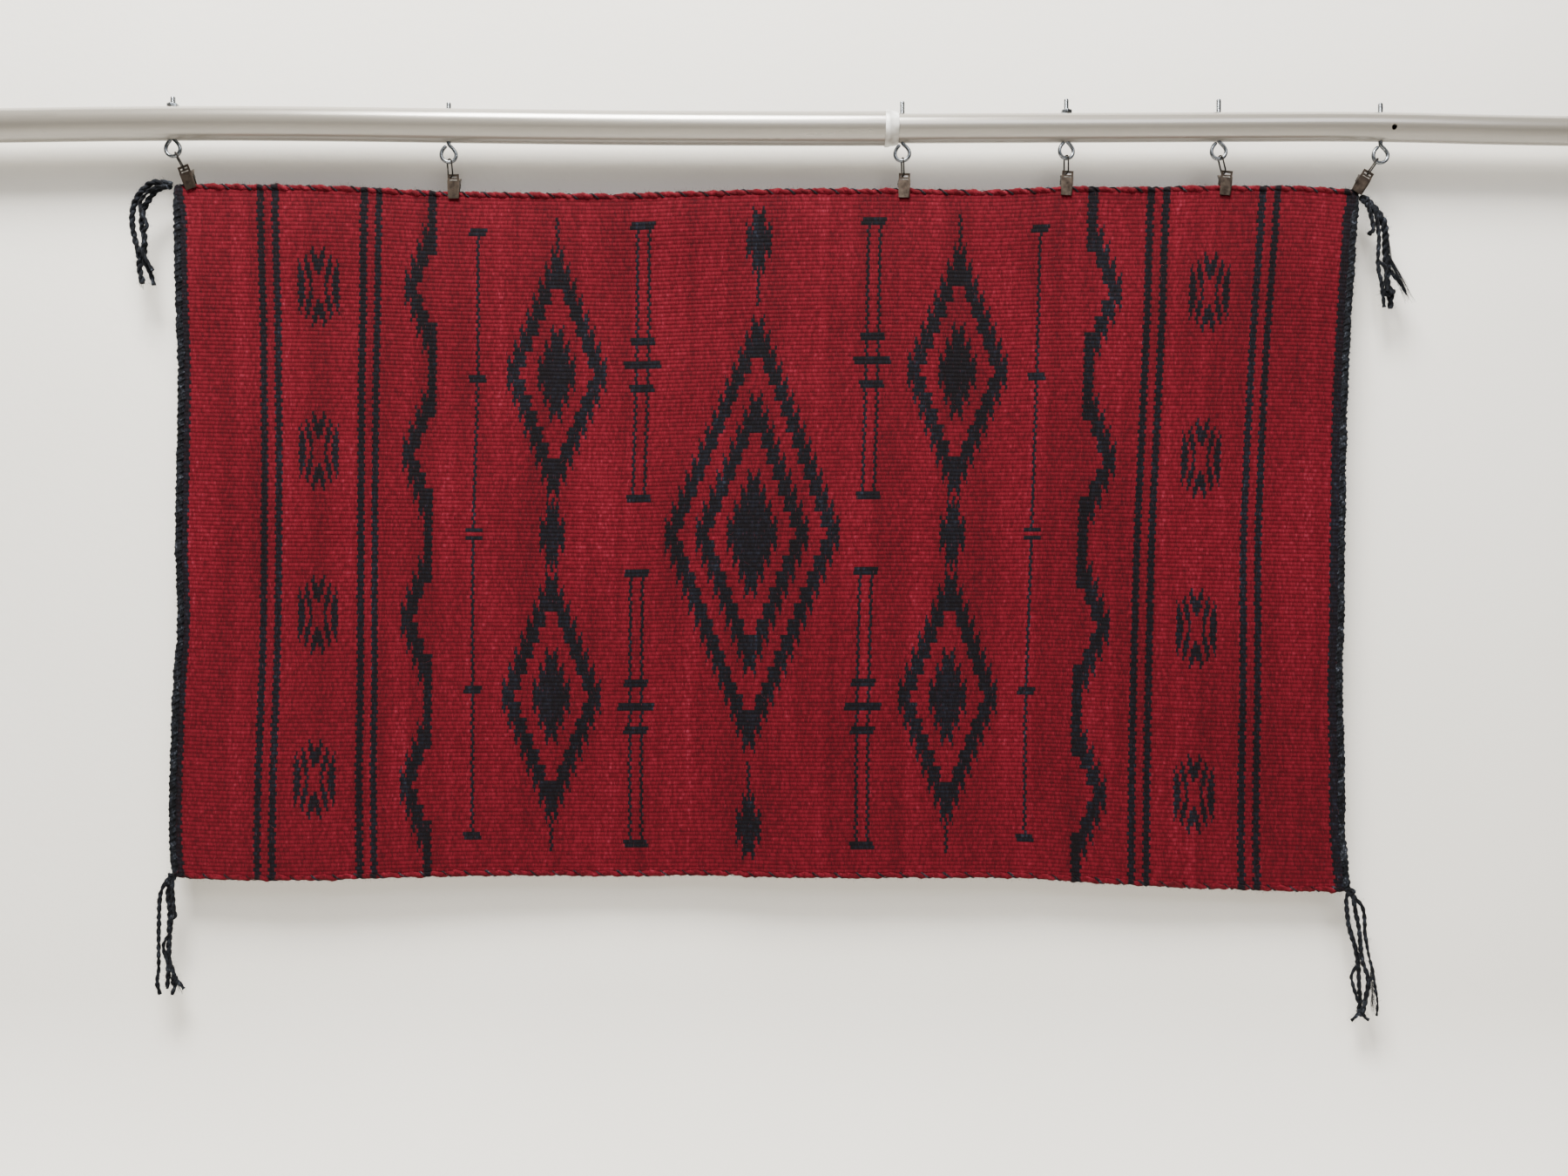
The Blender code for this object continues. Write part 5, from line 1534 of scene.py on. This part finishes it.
def bolt_route(hanger):
    """An eye bent round from its neck, and a straight stud over it."""
    angles = [math.radians(EYE_START + (EYE_END - EYE_START) * step / EYE_STEPS)
              for step in range(EYE_STEPS + 1)]
    ring = [(EYE_RADIUS * math.cos(angle), EYE_RADIUS * math.sin(angle)) for angle in angles]
    outline = (*EYE_FREE_END, *ring, *EYE_NECK)
    bend = smooth_route([Vector((x, 0.0, height)) for x, height in outline], EYE_BEND_STEP)
    stud = ((STUD_FOOT, STUD_RADIUS), (STUD_TOP - CHAMFER_HEIGHT, STUD_RADIUS),
            (STUD_TOP, STUD_RADIUS - CHAMFER_DEPTH))
    turn = Matrix.Rotation(math.radians(hanger.eye_turn), 4, "Z")
    turn = Matrix.Translation(eye_centre(hanger)) @ turn
    route = [*bend, *(Vector((0.0, 0.0, height)) for height, _ in stud)]
    radii = [EYE_END_RADIUS, *[EYE_WIRE_RADIUS] * (len(bend) - 1), *(radius for _, radius in stud)]
    return [turn @ point for point in route], radii, False


def link_route(hanger):
    """A long loop that hangs on the eye and holds the bar over the clip's slot."""
    eye = eye_centre(hanger)
    slot_x, slot_z = clip_point(hanger, hanger.slot_side, SLOT_MIDDLE)
    down = (Vector((slot_x, 0.0, slot_z)) - eye).normalized()
    across = Vector((0.0, 1.0, 0.0)).cross(down)
    turn = math.radians(hanger.link_turn)
    side = Vector((0.0, math.cos(turn), 0.0)) + across * math.sin(turn)
    inner = LINK_HALF_WIDTH - LINK_WIRE_RADIUS
    top = eye + down * (EYE_RADIUS - EYE_WIRE_RADIUS + inner - GAP)
    bottom = eye + down * (LINK_REACH - LINK_HALF_WIDTH)
    points = []
    for centre, first in ((top, 180.0), (bottom, 0.0)):
        for step in range(LINK_STEPS + 1):
            angle = math.radians(first + 180.0 * step / LINK_STEPS)
            points.append(centre + side * (LINK_HALF_WIDTH * math.cos(angle))
                          + down * (LINK_HALF_WIDTH * math.sin(angle)))
    return points, [LINK_WIRE_RADIUS] * len(points), True


class OBJECT_OT_build_bolts(bpy.types.Operator):
    """Bend the eye bolts and wire links, and finish the nuts"""
    bl_idname = "object.build_rug_bolts"
    bl_label = "Build eye bolts and links"

    def execute(self, context):
        metal = context.scene.rug_metal
        # Zinc plate is bright and bluish, with a fine grain that scatters its shine.
        zinc = plated_material("bright_zinc_plate", metal.zinc_low, metal.zinc_high, 0.20, 0.36,
                               700.0)
        # Blackened wire keeps a dull shine on its bends.
        wire = plated_material("blackened_wire", metal.wire_low, metal.wire_high, 0.38, 0.55,
                               900.0)
        stud_feet = []
        bend, twist = wire_tree("Bent bolt", zinc), wire_tree("Bent link", wire)
        for number, hanger in enumerate(HANGERS, 1):
            bolt = grown(poly_curve("bolt_route", [bolt_route(hanger)]), bend,
                         {"Sides": BOLT_SIDES}, f"bolt_{number}")
            hand_over(bolt, "zinc", f"eye_bolt_{number}")
            ring = grown(poly_curve("link_route", [link_route(hanger)]), twist,
                         {"Sides": LINK_SIDES}, f"ring_{number}")
            hand_over(ring, "dark_wire", f"link_{number}")
            foot = eye_centre(hanger).z + STUD_TOP - CHAMFER_DEPTH - THREAD_LENGTH
            stud_feet.append(Vector((hanger.bolt_x, 0.0, foot)) * MM)
            if hanger.has_nut:
                nut = dressed_copy(f"nut_{number}", f"hex_nut_{number}", zinc, NUT_BEVEL)
                hand_over(nut, "zinc", f"nut_{number}")
        feet = bpy.data.meshes.new("stud_feet")
        feet.from_pydata(stud_feet, [], [])
        threads = grown(scene_object("stud_feet", feet), thread_tree(zinc), {}, "stud_threads")
        hand_over(threads, "zinc")
        return {"FINISHED"}


def spring_mesh():
    """One bent leaf for each clip, behind the front jaw's slots."""
    points, faces = [], []
    for hanger in HANGERS:
        for back, height in SPRING_ROUTE:
            for side in (-SPRING_HALF_WIDTH, SPRING_HALF_WIDTH):
                x, z = clip_point(hanger, side, height)
                points.append(Vector((x, back, z)) * MM)
        first = len(points) - 2 * len(SPRING_ROUTE)
        faces += [(i, i + 1, i + 3, i + 2) for i in range(first, len(points) - 2, 2)]
    mesh = bpy.data.meshes.new("spring_leaves")
    mesh.from_pydata(points, [], faces)
    return mesh


class OBJECT_OT_build_clips(bpy.types.Operator):
    """Round the clips' edges and give them their plate"""
    bl_idname = "object.build_rug_clips"
    bl_label = "Build clips"

    def execute(self, context):
        metal = context.scene.rug_metal
        # Antique bronze plate is brown in its shade and tan where it is rubbed.
        bronze = plated_material("antique_bronze_plate", metal.bronze_low, metal.bronze_high,
                                 0.34, 0.50, 160.0)
        # Bare spring steel gleams through the slots.
        spring_steel = plated_material("bare_spring_steel", metal.spring_low, metal.spring_high,
                                       0.24, 0.42, 300.0)
        names = {"clip_front": "front_jaw", "clip_back": "back_jaw", "clip_pin": "jaw_pin"}
        for number in range(1, len(HANGERS) + 1):
            for node, name in names.items():
                piece = dressed_copy(f"{node}_{number}", f"{name}_{number}", bronze, CLIP_BEVEL)
                hand_over(piece, "bronze", f"{node}_{number}")
        leaves = scene_object("spring_leaves", spring_mesh())
        leaves.data.materials.append(spring_steel)
        sheet = leaves.modifiers.new("Sheet", "SOLIDIFY")
        sheet.thickness = SPRING_THICKNESS * MM
        sheet.offset = 0.0
        hand_over(settled(leaves), "bronze")
        return {"FINISHED"}


class VIEW3D_PT_rug(bpy.types.Panel):
    """Lists the steps that build the rug"""
    bl_idname = "VIEW3D_PT_rug"
    bl_label = "Rug"
    bl_space_type = "VIEW_3D"
    bl_region_type = "UI"
    bl_category = "Rug"

    def draw(self, context):
        for group, kind in GROUPS:
            for name in kind.__annotations__:
                self.layout.prop(getattr(context.scene, group), name)
        for step in STEPS:
            self.layout.operator(step.bl_idname)


GROUPS = (("rug_weave", WeaveSettings), ("rug_rod", RodSettings), ("rug_metal", MetalSettings),
          ("rug_stage", StageSettings))
STEPS = (OBJECT_OT_build_stage, OBJECT_OT_build_web, OBJECT_OT_build_cords,
         OBJECT_OT_build_tassels, OBJECT_OT_build_rod, OBJECT_OT_build_bolts,
         OBJECT_OT_build_clips)


def register():
    for name, group in GROUPS:
        bpy.utils.register_class(group)
        setattr(bpy.types.Scene, name, bpy.props.PointerProperty(type=group))
    for item in (*STEPS, VIEW3D_PT_rug):
        bpy.utils.register_class(item)


def unregister():
    for item in (VIEW3D_PT_rug, *STEPS[::-1]):
        bpy.utils.unregister_class(item)
    for name, group in GROUPS[::-1]:
        delattr(bpy.types.Scene, name)
        bpy.utils.unregister_class(group)


def main():
    register()
    bpy.ops.object.build_rug_stage()
    bpy.ops.object.build_rug_web()
    bpy.ops.object.build_rug_cords()
    bpy.ops.object.build_rug_tassels()
    bpy.ops.object.build_rug_rod()
    bpy.ops.object.build_rug_bolts()
    bpy.ops.object.build_rug_clips()
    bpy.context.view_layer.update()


if __name__ == "__main__":
    main()
